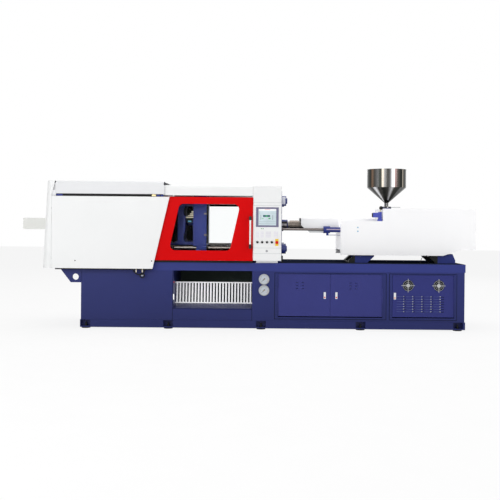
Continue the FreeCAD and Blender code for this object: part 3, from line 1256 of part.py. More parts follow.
def control_cabinet():
    """Operator's cabinet: cap, panel field, screen frame, button bores and lock, on a plinth."""
    body = new_part("control_cabinet")
    front = d.desk_front
    outline = rectangle(d.desk_left, d.desk_bottom, d.desk_right, d.desk_top)
    pad(body, "XZ_Plane", [outline], front, d.desk_back)
    round_edges(body, d.desk_round, lambda middle, along: near(middle.y, front, 0.1) and abs(along.z) > 0.9)
    plinth = rectangle(d.desk_left + d.plinth_inset, d.bed_top,
                       d.desk_right - d.plinth_inset, d.desk_bottom + 1)
    pad(body, "XZ_Plane", [plinth], -d.bed_half_width, d.desk_back)
    for z in (d.cap_seam, d.panel_top, d.panel_bottom, d.lower_seam):
        seam = rectangle(d.desk_left - 1, z - d.seam_gap / 2, d.desk_right + 1, z + d.seam_gap / 2)
        cut(body, "XZ_Plane", [seam], front - 1, front + d.seam_depth)
    field = rectangle(d.panel_left, d.panel_bottom + d.seam_gap, d.panel_right, d.panel_top - d.seam_gap)
    pad(body, "XZ_Plane", [field], front - d.panel_proud, front + 1)
    frame = rectangle(d.screen_left, d.screen_bottom, d.screen_right, d.screen_top)
    pad(body, "XZ_Plane", [frame], front - d.screen_proud, front + 1)
    glass = rectangle(d.screen_left + d.screen_rim * 1.5, d.screen_bottom + d.screen_rim,
                      d.screen_right - d.screen_rim * 1.5, d.screen_top - d.screen_rim)
    cut(body, "XZ_Plane", [glass], front - d.screen_proud - 1, front - d.screen_proud + d.screen_recess)
    plate = centred(d.stop_x, d.button_z, d.stop_plate_half, d.stop_plate_tall)
    pad(body, "XZ_Plane", [plate], front - d.panel_proud - 2, front)
    bores = [(d.button_first_x + d.button_pitch * index, d.button_z, d.button_stem + d.button_clearance)
             for index in range(4)]
    bores.append((d.stop_x, d.button_z, d.button_stem + d.button_clearance))
    cut(body, "XZ_Plane", bores, front - d.panel_proud - 6, front + d.button_depth)
    pad(body, "XZ_Plane", [(d.lock_x, d.lock_z, d.lock_radius)], front - 6, front + 1)
    return body


def push_button(label, x, radius, proud, cap):
    """Round push button: a stem in its bore and a wider cap that stands clear of the panel."""
    body = new_part(label)
    place(body, x, d.desk_front, d.button_z)
    pad(body, "XZ_Plane", [(0, 0, d.button_stem)], -proud, d.button_depth - d.seam_depth - 6)
    pad(body, "XZ_Plane", [(0, 0, radius)], -proud, -proud + cap)
    round_edges(body, d.seam_depth, lambda middle, along: near(middle.y, -proud, 0.1))
    return body


# ---------------------------------------------------------------- injection unit

def injection_base():
    """Front and rear pedestals on the bed with seats for the two round bars that guide the carriage."""
    body = new_part("injection_base")
    top = d.bed_top + d.pedestal_height
    inset = d.pedestal_height * 0.9
    left, right = d.front_pedestal_left, d.front_pedestal_right
    front = [(left, d.bed_top), (right - inset, d.bed_top), (right, top - 18), (right, top),
             (left + inset, top), (left, d.bed_top + 22)]
    pad(body, "XZ_Plane", [front], -d.pedestal_half, d.pedestal_half)
    left, right = d.rear_pedestal_left, d.rear_pedestal_right
    rear = [(left + inset, d.bed_top), (right, d.bed_top), (right, d.bed_top + 40),
            (right - inset * 0.4, top + 20), (left + inset * 2, top), (left, top), (left, top - 20)]
    pad(body, "XZ_Plane", [rear], -d.pedestal_half, d.pedestal_half)
    inner = d.guide_bar_y - d.guide_bar_radius * 2.6
    tunnel = rectangle(-inner, d.bed_top + 18, inner, top + 40)
    cut(body, "YZ_Plane", [tunnel], d.front_pedestal_left - 1, d.rear_pedestal_right + 1)
    bars_left = d.front_pedestal_left + inset
    bars_right = d.rear_pedestal_right - inset
    seats = [rectangle(x, top - 30, x + d.seat_length, d.guide_bar_z + d.seat_rise)
             for x in (bars_left, bars_right - d.seat_length)]
    for side in SIDES:
        low, high = side_span(side, d.guide_bar_y - d.seat_half, d.guide_bar_y + d.seat_half)
        pad(body, "XZ_Plane", seats, low, high)
    bars = [(d.guide_bar_y * side, d.guide_bar_z, d.guide_bar_radius) for side in SIDES]
    pad(body, "YZ_Plane", bars, bars_left, bars_right)
    return body


def shift_rods():
    """Two rods from the fixed platen, with the pistons of the carriage's shift cylinders."""
    body = new_part("shift_rods")
    spots = [(d.shift_y * side, d.shift_z) for side in SIDES]
    rods = [(y, z, d.shift_rod_radius) for y, z in spots]
    pad(body, "YZ_Plane", rods, d.fixed_back, d.shift_rod_right)
    pistons = [(y, z, d.shift_bore - d.pin_clearance) for y, z in spots]
    pad(body, "YZ_Plane", pistons, d.shift_rod_right - 30, d.shift_rod_right)
    collars = [hexagon(y, z, d.shift_rod_radius * 1.9) for y, z in spots]
    pad(body, "YZ_Plane", collars, d.fixed_back, d.fixed_back + 26)
    return body


def carriage():
    """Injection carriage: feed housing with barrel bore and throat, guide blocks and side beams."""
    body = new_part("carriage")
    axis = d.machine_axis
    left, right = d.housing_left, d.housing_right
    pad(body, "YZ_Plane", [rectangle(-d.housing_half, axis - 110, d.housing_half, axis + 110)], left, right)
    boss = rectangle(-d.housing_boss, d.housing_bottom, d.housing_boss, axis + 150)
    pad(body, "YZ_Plane", [boss], left, right)
    pad(body, "XY_Plane", [(d.throat_x, 0, d.gate_flange)], axis + 149, d.throat_top)
    for side in SIDES:
        low, high = side_span(side, d.guide_bar_y - 48, d.guide_bar_y + 48)
        block = rectangle(low, d.guide_bar_z - 12, high, d.housing_bottom + 60)
        for x in (left, right - 1):
            pad(body, "YZ_Plane", [block], x, x + d.block_length)
        beam = rectangle(low + 10, d.housing_bottom, high - 10, d.housing_bottom + 60)
        pad(body, "YZ_Plane", [beam], d.front_pedestal_left + 40, d.motor_right)
        upright = rectangle(low + 10, d.housing_bottom + 59, high - 10, axis - 109)
        pad(body, "YZ_Plane", [upright], left, right)
    for x in (d.front_pedestal_left + 40, d.motor_right - 40):
        tie = rectangle(-d.guide_bar_y, d.housing_bottom, d.guide_bar_y, d.housing_bottom + 60)
        pad(body, "YZ_Plane", [tie], x, x + 40)
    bars = [(d.guide_bar_y * side, d.guide_bar_z, d.guide_bar_radius + d.pin_clearance) for side in SIDES]
    cut(body, "YZ_Plane", bars, left - 10, d.motor_right)
    cut(body, "YZ_Plane", [(0, axis, d.barrel_radius + d.bar_clearance)], left - 1, right + 1)
    cut(body, "XY_Plane", [(d.throat_x, 0, d.throat_radius)], axis + d.barrel_radius - 6, d.throat_top + 1)
    return body


def barrel():
    """Stepped barrel with its nozzle: screw bore, feed opening and a small nozzle way."""
    body = new_part("barrel")
    tip = d.barrel_tip
    front = d.barrel_front_radius
    nose = tip + d.nozzle_length
    outline = [(tip, 0), (tip, 14), (tip + 18, d.nozzle_radius), (nose, d.nozzle_radius), (nose, front - 8),
               (nose + 12, front), (d.barrel_step, front), (d.barrel_step + 8, d.barrel_radius),
               (d.barrel_end, d.barrel_radius), (d.barrel_end, 0)]
    turn(body, "Revolution", outline, "X", 0, d.machine_axis)
    end = d.barrel_end + 1
    cavity = [(nose + 30, 0), (nose + 60, d.barrel_bore), (end, d.barrel_bore), (end, 0)]
    turn(body, "Groove", cavity, "X", 0, d.machine_axis)
    cut(body, "YZ_Plane", [(0, d.machine_axis, 4)], tip - 1, nose + 40)
    cut(body, "XY_Plane", [(d.throat_x, 0, d.throat_radius)], d.machine_axis + 5,
        d.machine_axis + d.barrel_radius + 1)
    return body


def barrel_guard():
    """Sheet guard over the heated barrel, open below and behind, with a clipped front corner."""
    body = new_part("barrel_guard")
    left, right = d.barrel_guard_left, d.barrel_guard_right
    cut_back = d.barrel_guard_cut
    outline = [(left, d.barrel_guard_bottom + cut_back), (left + cut_back, d.barrel_guard_bottom),
               (right, d.barrel_guard_bottom), (right, d.barrel_guard_top), (left, d.barrel_guard_top)]
    pad(body, "XZ_Plane", [outline], -d.barrel_guard_half, d.barrel_guard_half)
    round_edges(body, d.seam_depth * 4, lambda middle, along: near(middle.z, d.barrel_guard_top)
                and abs(along.x) > 0.9)
    hollow(body, d.sheet_gauge, lambda middle, normal: normal.z < -0.3 or normal.x > 0.9)
    mouth = (0, d.machine_axis, d.barrel_radius + 4)
    cut(body, "YZ_Plane", [mouth], left - 1, left + cut_back)
    return body


def injection_guard():
    """Large stepped sheet guard on the carriage, open below, with ways for what passes through it."""
    body = new_part("injection_guard")
    outline = [(d.guard_left, d.guard_bottom), (d.guard_slope_left, d.guard_bottom),
               (d.guard_slope_right, d.guard_tail_bottom), (d.guard_right, d.guard_tail_bottom),
               (d.guard_right, d.guard_high_top), (d.guard_step, d.guard_high_top),
               (d.guard_step, d.guard_low_top), (d.guard_left, d.guard_low_top)]
    pad(body, "XZ_Plane", [outline], -d.guard_half, d.guard_half)
    hollow(body, d.sheet_gauge, lambda middle, normal: normal.z < -0.3 or near(middle.x, d.guard_left, 0.1))
    end_right = d.guard_left + d.sheet_gauge
    end_half = d.guard_half - 1
    end_plate = rectangle(-end_half, d.guard_end_bottom, end_half, d.guard_low_top - 1)
    pad(body, "YZ_Plane", [end_plate], d.guard_left, end_right)
    reach = d.barrel_guard_half + d.guard_way
    mouth = rectangle(-reach, d.machine_axis - d.barrel_radius - d.guard_way, reach, d.guard_low_top + 1)
    cut(body, "YZ_Plane", [mouth], d.guard_left - 1, end_right + 1)
    tubes = [(d.shift_y * side, d.shift_z, d.shift_radius + d.guard_way) for side in SIDES]
    cut(body, "YZ_Plane", tubes, d.guard_left - 1, end_right + 1)
    way = rectangle(d.guard_left - 1, -reach, d.guard_step, reach)
    cut(body, "XY_Plane", [way], d.guard_low_top - d.sheet_gauge - 1, d.guard_low_top + 1)
    arch = rectangle(-reach, d.guard_low_top - 10, reach, d.barrel_guard_top + d.guard_way)
    cut(body, "YZ_Plane", [arch], d.guard_step - 1, d.guard_step + d.sheet_gauge + 1)
    cut(body, "XY_Plane", [(d.throat_x, 0, d.gate_flange + 2)], d.guard_high_top - d.sheet_gauge - 1,
        d.guard_high_top + 1)
    return body


def shift_cylinders():
    """Two shift cylinders on the carriage: nose nut, tube with gland and closed end."""
    body = new_part("shift_cylinders")
    spots = [(d.shift_y * side, d.shift_z) for side in SIDES]
    nose_end = d.shift_nose + d.shift_nut_length
    pad(body, "YZ_Plane", [(y, z, d.shift_radius) for y, z in spots], nose_end - 1, d.shift_end)
    pad(body, "YZ_Plane", [(y, z, d.shift_nut_radius) for y, z in spots], d.shift_nose, nose_end)
    cut(body, "YZ_Plane", [(y, z, d.shift_rod_radius + d.pin_clearance) for y, z in spots],
        d.shift_nose - 1, nose_end)
    cut(body, "YZ_Plane", [(y, z, d.shift_bore) for y, z in spots], nose_end - 1, d.shift_end - 20)
    for side in SIDES:
        low, high = side_span(side, d.shift_y - 20, d.shift_y + 20)
        stay = rectangle(low, d.housing_bottom + 60, high, d.shift_z - d.shift_radius + 1)
        pad(body, "YZ_Plane", [stay], d.front_pedestal_left + 50, d.front_pedestal_left + 80)
        link = rectangle(low, d.shift_z - 20, high, d.shift_z + 20)
        pad(body, "YZ_Plane", [link], d.shift_end - 1, d.housing_left)
    return body


def injection_cylinders():
    """Two injection cylinders behind the feed housing."""
    body = new_part("injection_cylinders")
    spots = [(d.charge_cylinder_y * side, d.machine_axis) for side in SIDES]
    left, right = d.housing_right, d.charge_cylinder_right
    pad(body, "YZ_Plane", [(y, z, d.charge_cylinder_radius) for y, z in spots], left, right)
    pad(body, "YZ_Plane", [(y, z, d.charge_cylinder_radius + 12) for y, z in spots], right - 40, right)
    pad(body, "YZ_Plane", [(y, z, d.charge_cylinder_radius + 12) for y, z in spots], left, left + 30)
    bore = d.charge_rod_radius + 16
    cut(body, "YZ_Plane", [(y, z, bore) for y, z in spots], left + 20, right - 40)
    rod_ways = [(y, z, d.charge_rod_radius + d.pin_clearance) for y, z in spots]
    cut(body, "YZ_Plane", rod_ways, right - 41, right + 1)
    return body


def drive_plate():
    """Screw drive: cross plate with the cylinders' rods, bearing nose and hydraulic motor."""
    body = new_part("drive_plate")
    axis = d.machine_axis
    spots = [(d.charge_cylinder_y * side, axis) for side in SIDES]
    plate = centred(0, axis, d.drive_half_width, d.drive_half_height)
    pad(body, "YZ_Plane", [plate], d.drive_plate_left, d.drive_plate_right)
    pad(body, "YZ_Plane", [(y, z, d.charge_rod_radius) for y, z in spots], d.housing_right + 60,
        d.drive_plate_left + 1)
    pad(body, "YZ_Plane", [(y, z, d.charge_rod_radius + 15.9) for y, z in spots], d.housing_right + 60,
        d.housing_right + 95)
    pad(body, "YZ_Plane", [(0, axis, d.motor_radius * 0.72)], d.drive_plate_left - 50, d.drive_plate_left + 1)
    shoulder = (0, axis, d.motor_radius * 0.8)
    pad(body, "YZ_Plane", [shoulder], d.drive_plate_right - 1, d.drive_plate_right + 60)
    pad(body, "YZ_Plane", [(0, axis, d.motor_radius)], d.drive_plate_right + 59, d.motor_right - 40)
    pad(body, "YZ_Plane", [(0, axis, d.motor_radius * 0.7)], d.motor_right - 41, d.motor_right)
    cut(body, "YZ_Plane", [(0, axis, d.screw_shaft + d.pin_clearance)], d.drive_plate_left - 51,
        d.drive_plate_right - 8)
    return body


def screw():
    """Plasticising screw: pointed tip, check ring, root, sealing land and the drive shaft."""
    body = new_part("screw")
    axis = d.machine_axis
    outer = d.barrel_bore - d.screw_clearance
    inner = outer * 0.68
    tip = d.barrel_tip + d.nozzle_length + 62
    fed = d.throat_x + d.throat_radius
    profile = [(tip, 0), (tip + 50, inner), (tip + 70, inner), (tip + 70, outer), (tip + 95, outer),
               (tip + 95, inner), (fed + 20, inner), (fed + 20, outer), (d.barrel_end + 30, outer),
               (d.barrel_end + 30, d.screw_shaft), (d.drive_plate_right - 20, d.screw_shaft),
               (d.drive_plate_right - 20, 0)]
    turn(body, "Revolution", profile, "X", 0, axis)
    return body


def hopper():
    """Spun steel hopper: rolled rim, cylinder, cone, neck and a round base with the gate's slot."""
    body = new_part("hopper")
    gauge = d.hopper_gauge
    outer = d.hopper_radius
    neck = d.neck_radius
    outline = [(d.hopper_rim, outer - gauge), (d.hopper_rim, outer + gauge),
               (d.hopper_rim - 8, outer + gauge), (d.hopper_rim - 8, outer),
               (d.hopper_shoulder, outer), (d.hopper_neck, neck),
               (d.gate_top, neck), (d.gate_top, d.gate_flange), (d.throat_top, d.gate_flange),
               (d.throat_top, neck - gauge), (d.hopper_neck, neck - gauge),
               (d.hopper_shoulder, outer - gauge)]
    turn(body, "Revolution", outline, "Z", d.throat_x, 0)
    middle = (d.throat_top + d.gate_top) / 2
    half = d.gate_thickness / 2 + d.screw_clearance
    slot_half = d.gate_half + d.bar_clearance
    slot = rectangle(-slot_half, middle - half, slot_half, middle + half)
    cut(body, "YZ_Plane", [slot], d.throat_x - d.gate_flange - 1, d.throat_x + d.gate_flange + 1)
    return body


def slide_gate():
    """Hopper slide gate: a strip with a hole that lines up when open, and a pull handle."""
    body = new_part("slide_gate")
    middle = (d.throat_top + d.gate_top) / 2
    half = d.gate_thickness / 2
    left = d.throat_x - d.gate_flange
    strip = rectangle(left, -d.gate_half, d.gate_right - 60, d.gate_half)
    pad(body, "XY_Plane", [strip], middle - half, middle + half)
    handle = rectangle(d.gate_right - 61, -d.gate_half / 3, d.gate_right, d.gate_half / 3)
    pad(body, "XY_Plane", [handle], middle - half, middle + half)
    cut(body, "XY_Plane", [(d.throat_x, 0, d.throat_radius)], middle - half - 1, middle + half + 1)
    return body


# ---------------------------------------------------------------- build, check and write

def build_machine():
    """Build every sub-part."""
    bed_frame()
    levelling_pads()
    chute_grille()
    gauge_cases()
    gauge_needle("upper_gauge_needle", d.upper_gauge_z)
    gauge_needle("lower_gauge_needle", d.lower_gauge_z)
    electrical_plate()
    pump_unit()
    left_cabinet_door()
    right_cabinet_door()
    fan_door()
    lock_lever("left_lock_lever", d.left_lever_x)
    lock_lever("right_lock_lever", d.right_lever_x)
    lock_lever("fan_lock_lever", d.fan_lever_x)
    fan_guards()
    fan_rotor("left_fan_rotor", d.left_fan_x)
    fan_rotor("right_fan_rotor", d.right_fan_x)
    fixed_platen()
    tie_bars()
    moving_platen()
    for name, up in (("upper", 1), ("lower", -1)):
        front_link(f"{name}_front_link", up)
        rear_link(f"{name}_rear_link", up)
        crosshead_link(f"{name}_crosshead_link", up)
    crosshead()
    tail_platen()
    clamp_cylinder()
    ejector_plate()
    guard_frame()
    side_cover("front_side_cover", -1)
    side_cover("rear_side_cover", 1)
    tail_cover()
    cylinder_guard()
    rear_hood()
    front_hood()
    for name, side in (("front", -1), ("rear", 1)):
        safety_door(f"{name}_door", side)
        door_window(f"{name}_door_window", side)
    door_handle("front_door_handle", -1)
    control_cabinet()
    for index, name in enumerate(("first", "second", "third", "fourth")):
        push_button(f"{name}_button", d.button_first_x + d.button_pitch * index, d.button_radius,
                    d.button_proud, d.button_cap)
    push_button("emergency_stop_button", d.stop_x, d.stop_radius, d.stop_proud, d.stop_cap)
    injection_base()
    shift_rods()
    carriage()
    barrel()
    barrel_guard()
    injection_guard()
    shift_cylinders()
    injection_cylinders()
    drive_plate()
    screw()
    hopper()
    slide_gate()


def check_features():
    """Raise an error if a feature failed, a shape is not sound or a cut removed nothing."""
    for item in document.Objects:
        if "Invalid" in item.State or "Error" in item.State:
            raise ValueError(f"{item.Name}: {item.State}")
        if item.TypeId in ("PartDesign::Pocket", "PartDesign::Groove"):
            before = item.BaseFeature.Shape.Volume
            if item.Shape.Volume > before - 0.5:
                raise ValueError(f"{item.getParent().Label}: {item.Name} cuts nothing")
    for body in nodes:
        if body.Shape.isNull() or not body.Shape.isValid():
            raise ValueError(f"{body.Label}: shape is not sound")


def write_parts():
    """Write each sub-part to its own file."""
    os.makedirs("parts", exist_ok=True)
    for body in nodes:
        body.Shape.exportStep(f"parts/{body.Label}.step")
        box = body.Shape.BoundBox
        print(f"{body.Label}: {len(body.Shape.Solids)} solid(s), "
              f"X {box.XMin:.0f}..{box.XMax:.0f} Y {box.YMin:.0f}..{box.YMax:.0f} Z {box.ZMin:.0f}..{box.ZMax:.0f}")
    print(f"{len(nodes)} sub-parts")


build_machine()
document.recompute()
check_features()
write_parts()
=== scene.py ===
# %% [markdown]
# # The looks of an injection moulding machine
#
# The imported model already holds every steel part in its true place, in metres.
# This lesson lights it, gives each part its finish, and adds the small things
# that a machine builder bolts on last: dials, keys, hoses, heater bands, screws.

# %% Load the frame
import math

import bpy
import numpy as np
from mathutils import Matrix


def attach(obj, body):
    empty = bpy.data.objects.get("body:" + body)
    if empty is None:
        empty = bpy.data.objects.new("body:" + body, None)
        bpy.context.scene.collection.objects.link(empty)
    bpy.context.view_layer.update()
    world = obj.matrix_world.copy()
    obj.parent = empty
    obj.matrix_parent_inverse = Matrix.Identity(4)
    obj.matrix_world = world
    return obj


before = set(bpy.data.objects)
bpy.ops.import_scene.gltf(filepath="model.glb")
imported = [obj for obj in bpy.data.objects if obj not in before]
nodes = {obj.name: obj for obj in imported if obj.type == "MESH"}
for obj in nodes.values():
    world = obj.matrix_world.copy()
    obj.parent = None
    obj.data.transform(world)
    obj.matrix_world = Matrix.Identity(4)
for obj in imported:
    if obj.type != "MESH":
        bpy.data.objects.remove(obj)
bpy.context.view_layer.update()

# %% [markdown]
# ## The camera
#
# The picture was taken square to the machine's front, from about ten metres away
# and at eye height, with the horizon above the middle. A shifted lens keeps
# upright edges upright, so the camera looks level and its frame slides down
# instead of tilting. The picture leans half a degree, which the roll repeats.

# %% Camera
EYE = (0.0415, -10.55, 1.33)
FRONT_DISTANCE = 10.0
METRES_PER_PIXEL = 0.0124
PICTURE_PIXELS = 500
HORIZON_SHIFT = -28 / PICTURE_PIXELS
ROLL = 0.0087

camera_data = bpy.data.cameras.new("camera")
camera_data.sensor_width = 36.0
camera_data.lens = 36.0 * FRONT_DISTANCE / (METRES_PER_PIXEL * PICTURE_PIXELS)
camera_data.shift_y = HORIZON_SHIFT
camera_data.clip_end = 200.0
camera = bpy.data.objects.new("camera", camera_data)
camera.location = EYE
camera.rotation_euler = (math.pi / 2, -ROLL, 0.0)
bpy.context.scene.collection.objects.link(camera)
bpy.context.scene.camera = camera
print("lens:", round(camera_data.lens, 2), "mm")

# %% [markdown]
# ## Surfaces from arrays
#
# Every new piece is a grid of points worked out with numpy. A grid becomes quads
# by joining each point to its right and lower neighbours. Closing a grid round
# one way gives a tube; a flat cap closes its ends.

# %% Grid helpers
def grid_faces(rows, columns, close_rows=False):
    """Quads of a grid that wraps round its columns: (r,c), (r,c+1), (r+1,c+1), (r+1,c)."""
    r, c = np.meshgrid(np.arange(rows if close_rows else rows - 1), np.arange(columns), indexing="ij")
    below = (r + 1) % rows
    right = (c + 1) % columns
    quads = np.stack([r * columns + c, r * columns + right, below * columns + right, below * columns + c], -1)
    return quads.reshape(-1, 4).tolist()


def tube_surface(rings):
    """A stack of closed rings, shaped (rings, points, 3), joined by quads and capped at both ends."""
    rows, columns = rings.shape[:2]
    faces = grid_faces(rows, columns)
    faces.append(list(range(columns))[::-1])
    faces.append(list(range((rows - 1) * columns, rows * columns)))
    return rings.reshape(-1, 3), faces


def ring_surface(rings):
    """Rings that also close on themselves, as in a hoop."""
    return rings.reshape(-1, 3), grid_faces(rings.shape[0], rings.shape[1], close_rows=True)


def signed_volume(points, faces):
    """Six times the enclosed volume: the sum of a . (b x c) over a fan of triangles in each face."""
    total = 0.0
    for size in {len(face) for face in faces}:
        chosen = np.array([face for face in faces if len(face) == size])
        first = points[chosen[:, 0]]
        for step in range(1, size - 1):
            crossed = np.cross(points[chosen[:, step]], points[chosen[:, step + 1]])
            total += float(np.sum(first * crossed))
    return total


SHARP_EDGE = math.radians(38)


def piece(name, surfaces, finish, body, smooth=True):
    """Join surfaces into one object with its faces outwards, and let it ride on a body."""
    points, faces, start = [], [], 0
    for part_points, part_faces in surfaces:
        if signed_volume(part_points, part_faces) < 0:
            part_faces = [face[::-1] for face in part_faces]
        points.append(part_points)
        faces += [[corner + start for corner in face] for face in part_faces]
        start += len(part_points)
    mesh = bpy.data.meshes.new(name)
    mesh.from_pydata(np.concatenate(points).tolist(), [], faces)
    mesh.polygons.foreach_set("use_smooth", np.full(len(faces), smooth))
    mesh.materials.append(finish.material)
    mesh.update()
    if smooth:
        mesh.set_sharp_from_angle(angle=SHARP_EDGE)
    made = bpy.data.objects.new(name, mesh)
    bpy.context.scene.collection.objects.link(made)
    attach(made, body)
    return made


# %% [markdown]
# ## Shapes that come back again and again
#
# Most fittings on a machine are turned on a lathe, bent from bar, or milled
# from plate with softened edges. So three shapes do nearly all the work: a
# turned form, a bent round bar, and a slab whose edges are rounded.

# %% Shape helpers
AXES = {"X": (0, 1, 2), "Y": (1, 2, 0), "Z": (2, 0, 1)}
CORNER_POINTS = 4


def turned(centre, axis, profile, sides=40):
    """Turn (along, radius) pairs about an axis: point = centre + along on the axis + radius on a circle."""
    along_axis, across, up = AXES[axis]
    profile = np.asarray(profile, float)
    angle = np.linspace(0, 2 * np.pi, sides, endpoint=False)
    rings = np.zeros((len(profile), sides, 3))
    rings[:, :, along_axis] = profile[:, :1]
    rings[:, :, across] = profile[:, 1:] * np.cos(angle)
    rings[:, :, up] = profile[:, 1:] * np.sin(angle)
    return tube_surface(rings + np.asarray(centre, float))


def hoop(centre, axis, radius, wire, sides=48, around=8):
    """A ring of round wire: a small circle carried round a large one."""
    along_axis, across, up = AXES[axis]
    big = np.linspace(0, 2 * np.pi, sides, endpoint=False)[:, None]
    small = np.linspace(0, 2 * np.pi, around, endpoint=False)[None, :]
    rings = np.zeros((sides, around, 3))
    reach = radius + wire * np.cos(small)
    rings[:, :, along_axis] = wire * np.sin(small) + 0 * big
    rings[:, :, across] = reach * np.cos(big)
    rings[:, :, up] = reach * np.sin(big)
    return ring_surface(rings + np.asarray(centre, float))


def rounded_outline(width, height, corner, steps=CORNER_POINTS):
    """A rectangle about zero whose corners are quarter circles."""
    quarter = np.linspace(0, np.pi / 2, steps)
    turns = np.concatenate([quarter + np.pi / 2 * k for k in range(4)])
    sign_x = np.repeat([1, -1, -1, 1], steps)
    sign_y = np.repeat([1, 1, -1, -1], steps)
    x = sign_x * (width / 2 - corner) + corner * np.cos(turns)
    y = sign_y * (height / 2 - corner) + corner * np.sin(turns)
    return np.stack([x, y], -1)


def slab(low, high, axis="Y", corner=0.004, edge=0.001):
    """A plate between two corners: a rounded outline stacked along the axis, drawn in at both ends."""
    low, high = np.minimum(low, high), np.maximum(low, high)
    along_axis, across, up = AXES[axis]
    middle, size = (low + high) / 2, high - low
    # Just under half the size, so that two corners never meet in one point.
    corner = min(corner, size[across] / 2.001, size[up] / 2.001)
    edge = min(edge, corner, size[along_axis] / 2.001)
    bend = np.linspace(0, np.pi / 2, 3)
    inset = np.concatenate([edge * (1 - np.sin(bend)), edge * (1 - np.sin(bend[::-1]))])
    offset = np.concatenate([low[along_axis] + edge * (1 - np.cos(bend)),
                             high[along_axis] - edge * (1 - np.cos(bend[::-1]))])
    rings = np.zeros((len(inset), 4 * CORNER_POINTS, 3))
    for row, (drawn, place) in enumerate(zip(inset, offset)):
        outline = rounded_outline(size[across] - 2 * drawn, size[up] - 2 * drawn, max(corner - drawn, 1e-5))
        rings[row, :, along_axis] = place
        rings[row, :, across] = middle[across] + outline[:, 0]
        rings[row, :, up] = middle[up] + outline[:, 1]
    return tube_surface(rings)


def smooth_path(points, steps=10):
    """A curve through points: each span blends its four neighbours with Catmull-Rom weights."""
    p = np.asarray(points, float)
    p = np.vstack([2 * p[0] - p[1], p, 2 * p[-1] - p[-2]])
    t = np.linspace(0, 1, steps, endpoint=False)[None, :, None]
    a, b, c, d = (p[k:len(p) - 3 + k, None, :] for k in range(4))
    curve = 0.5 * (2 * b + (c - a) * t + (2 * a - 5 * b + 4 * c - d) * t ** 2
                   + (3 * b - a - 3 * c + d) * t ** 3)
    return np.vstack([curve.reshape(-1, 3), p[-2]])


def bar(points, radius, sides=14, aside=(0.31, 0.17, 0.93)):
    """A round bar along a curve: circles square to the curve's direction at each of its points."""
    path = smooth_path(points) if len(points) > 2 else np.asarray(points, float)
    along = np.gradient(path, axis=0)
    along /= np.linalg.norm(along, axis=1, keepdims=True)
    first = np.cross(along, np.asarray(aside))
    first /= np.linalg.norm(first, axis=1, keepdims=True)
    second = np.cross(along, first)
    angle = np.linspace(0, 2 * np.pi, sides, endpoint=False)[None, :, None]
    circle = first[:, None, :] * np.cos(angle) + second[:, None, :] * np.sin(angle)
    return tube_surface(path[:, None, :] + radius * circle)


print("shapes ready; a plate's outline has", len(rounded_outline(1, 1, 0.1)), "points")

# %% [markdown]
# ## Finishes
#
# Nearly all of the machine is sprayed steel. Sprayed enamel isn't one colour:
# it drifts a little from panel to panel, it has a faint orange peel, and its
# gloss varies where hands and rags have been. Each painted finish therefore
# takes its colour from two nearby shades, its gloss from a broad noise and its
# relief from a fine one, all read from object coordinates so nothing slides.

# %% Material helpers
def linear(red, green, blue):
    """Screen colour (0 to 255) to the linear light that a shader wants."""
    value = np.array([red, green, blue]) / 255.0
    light = np.where(value <= 0.04045, value / 12.92, ((value + 0.055) / 1.055) ** 2.4)
    return (*[float(part) for part in light], 1.0)


def shade(colour, factor):
    """The same colour, lighter or darker."""
    return (*[min(1.0, part * factor) for part in colour[:3]], 1.0)


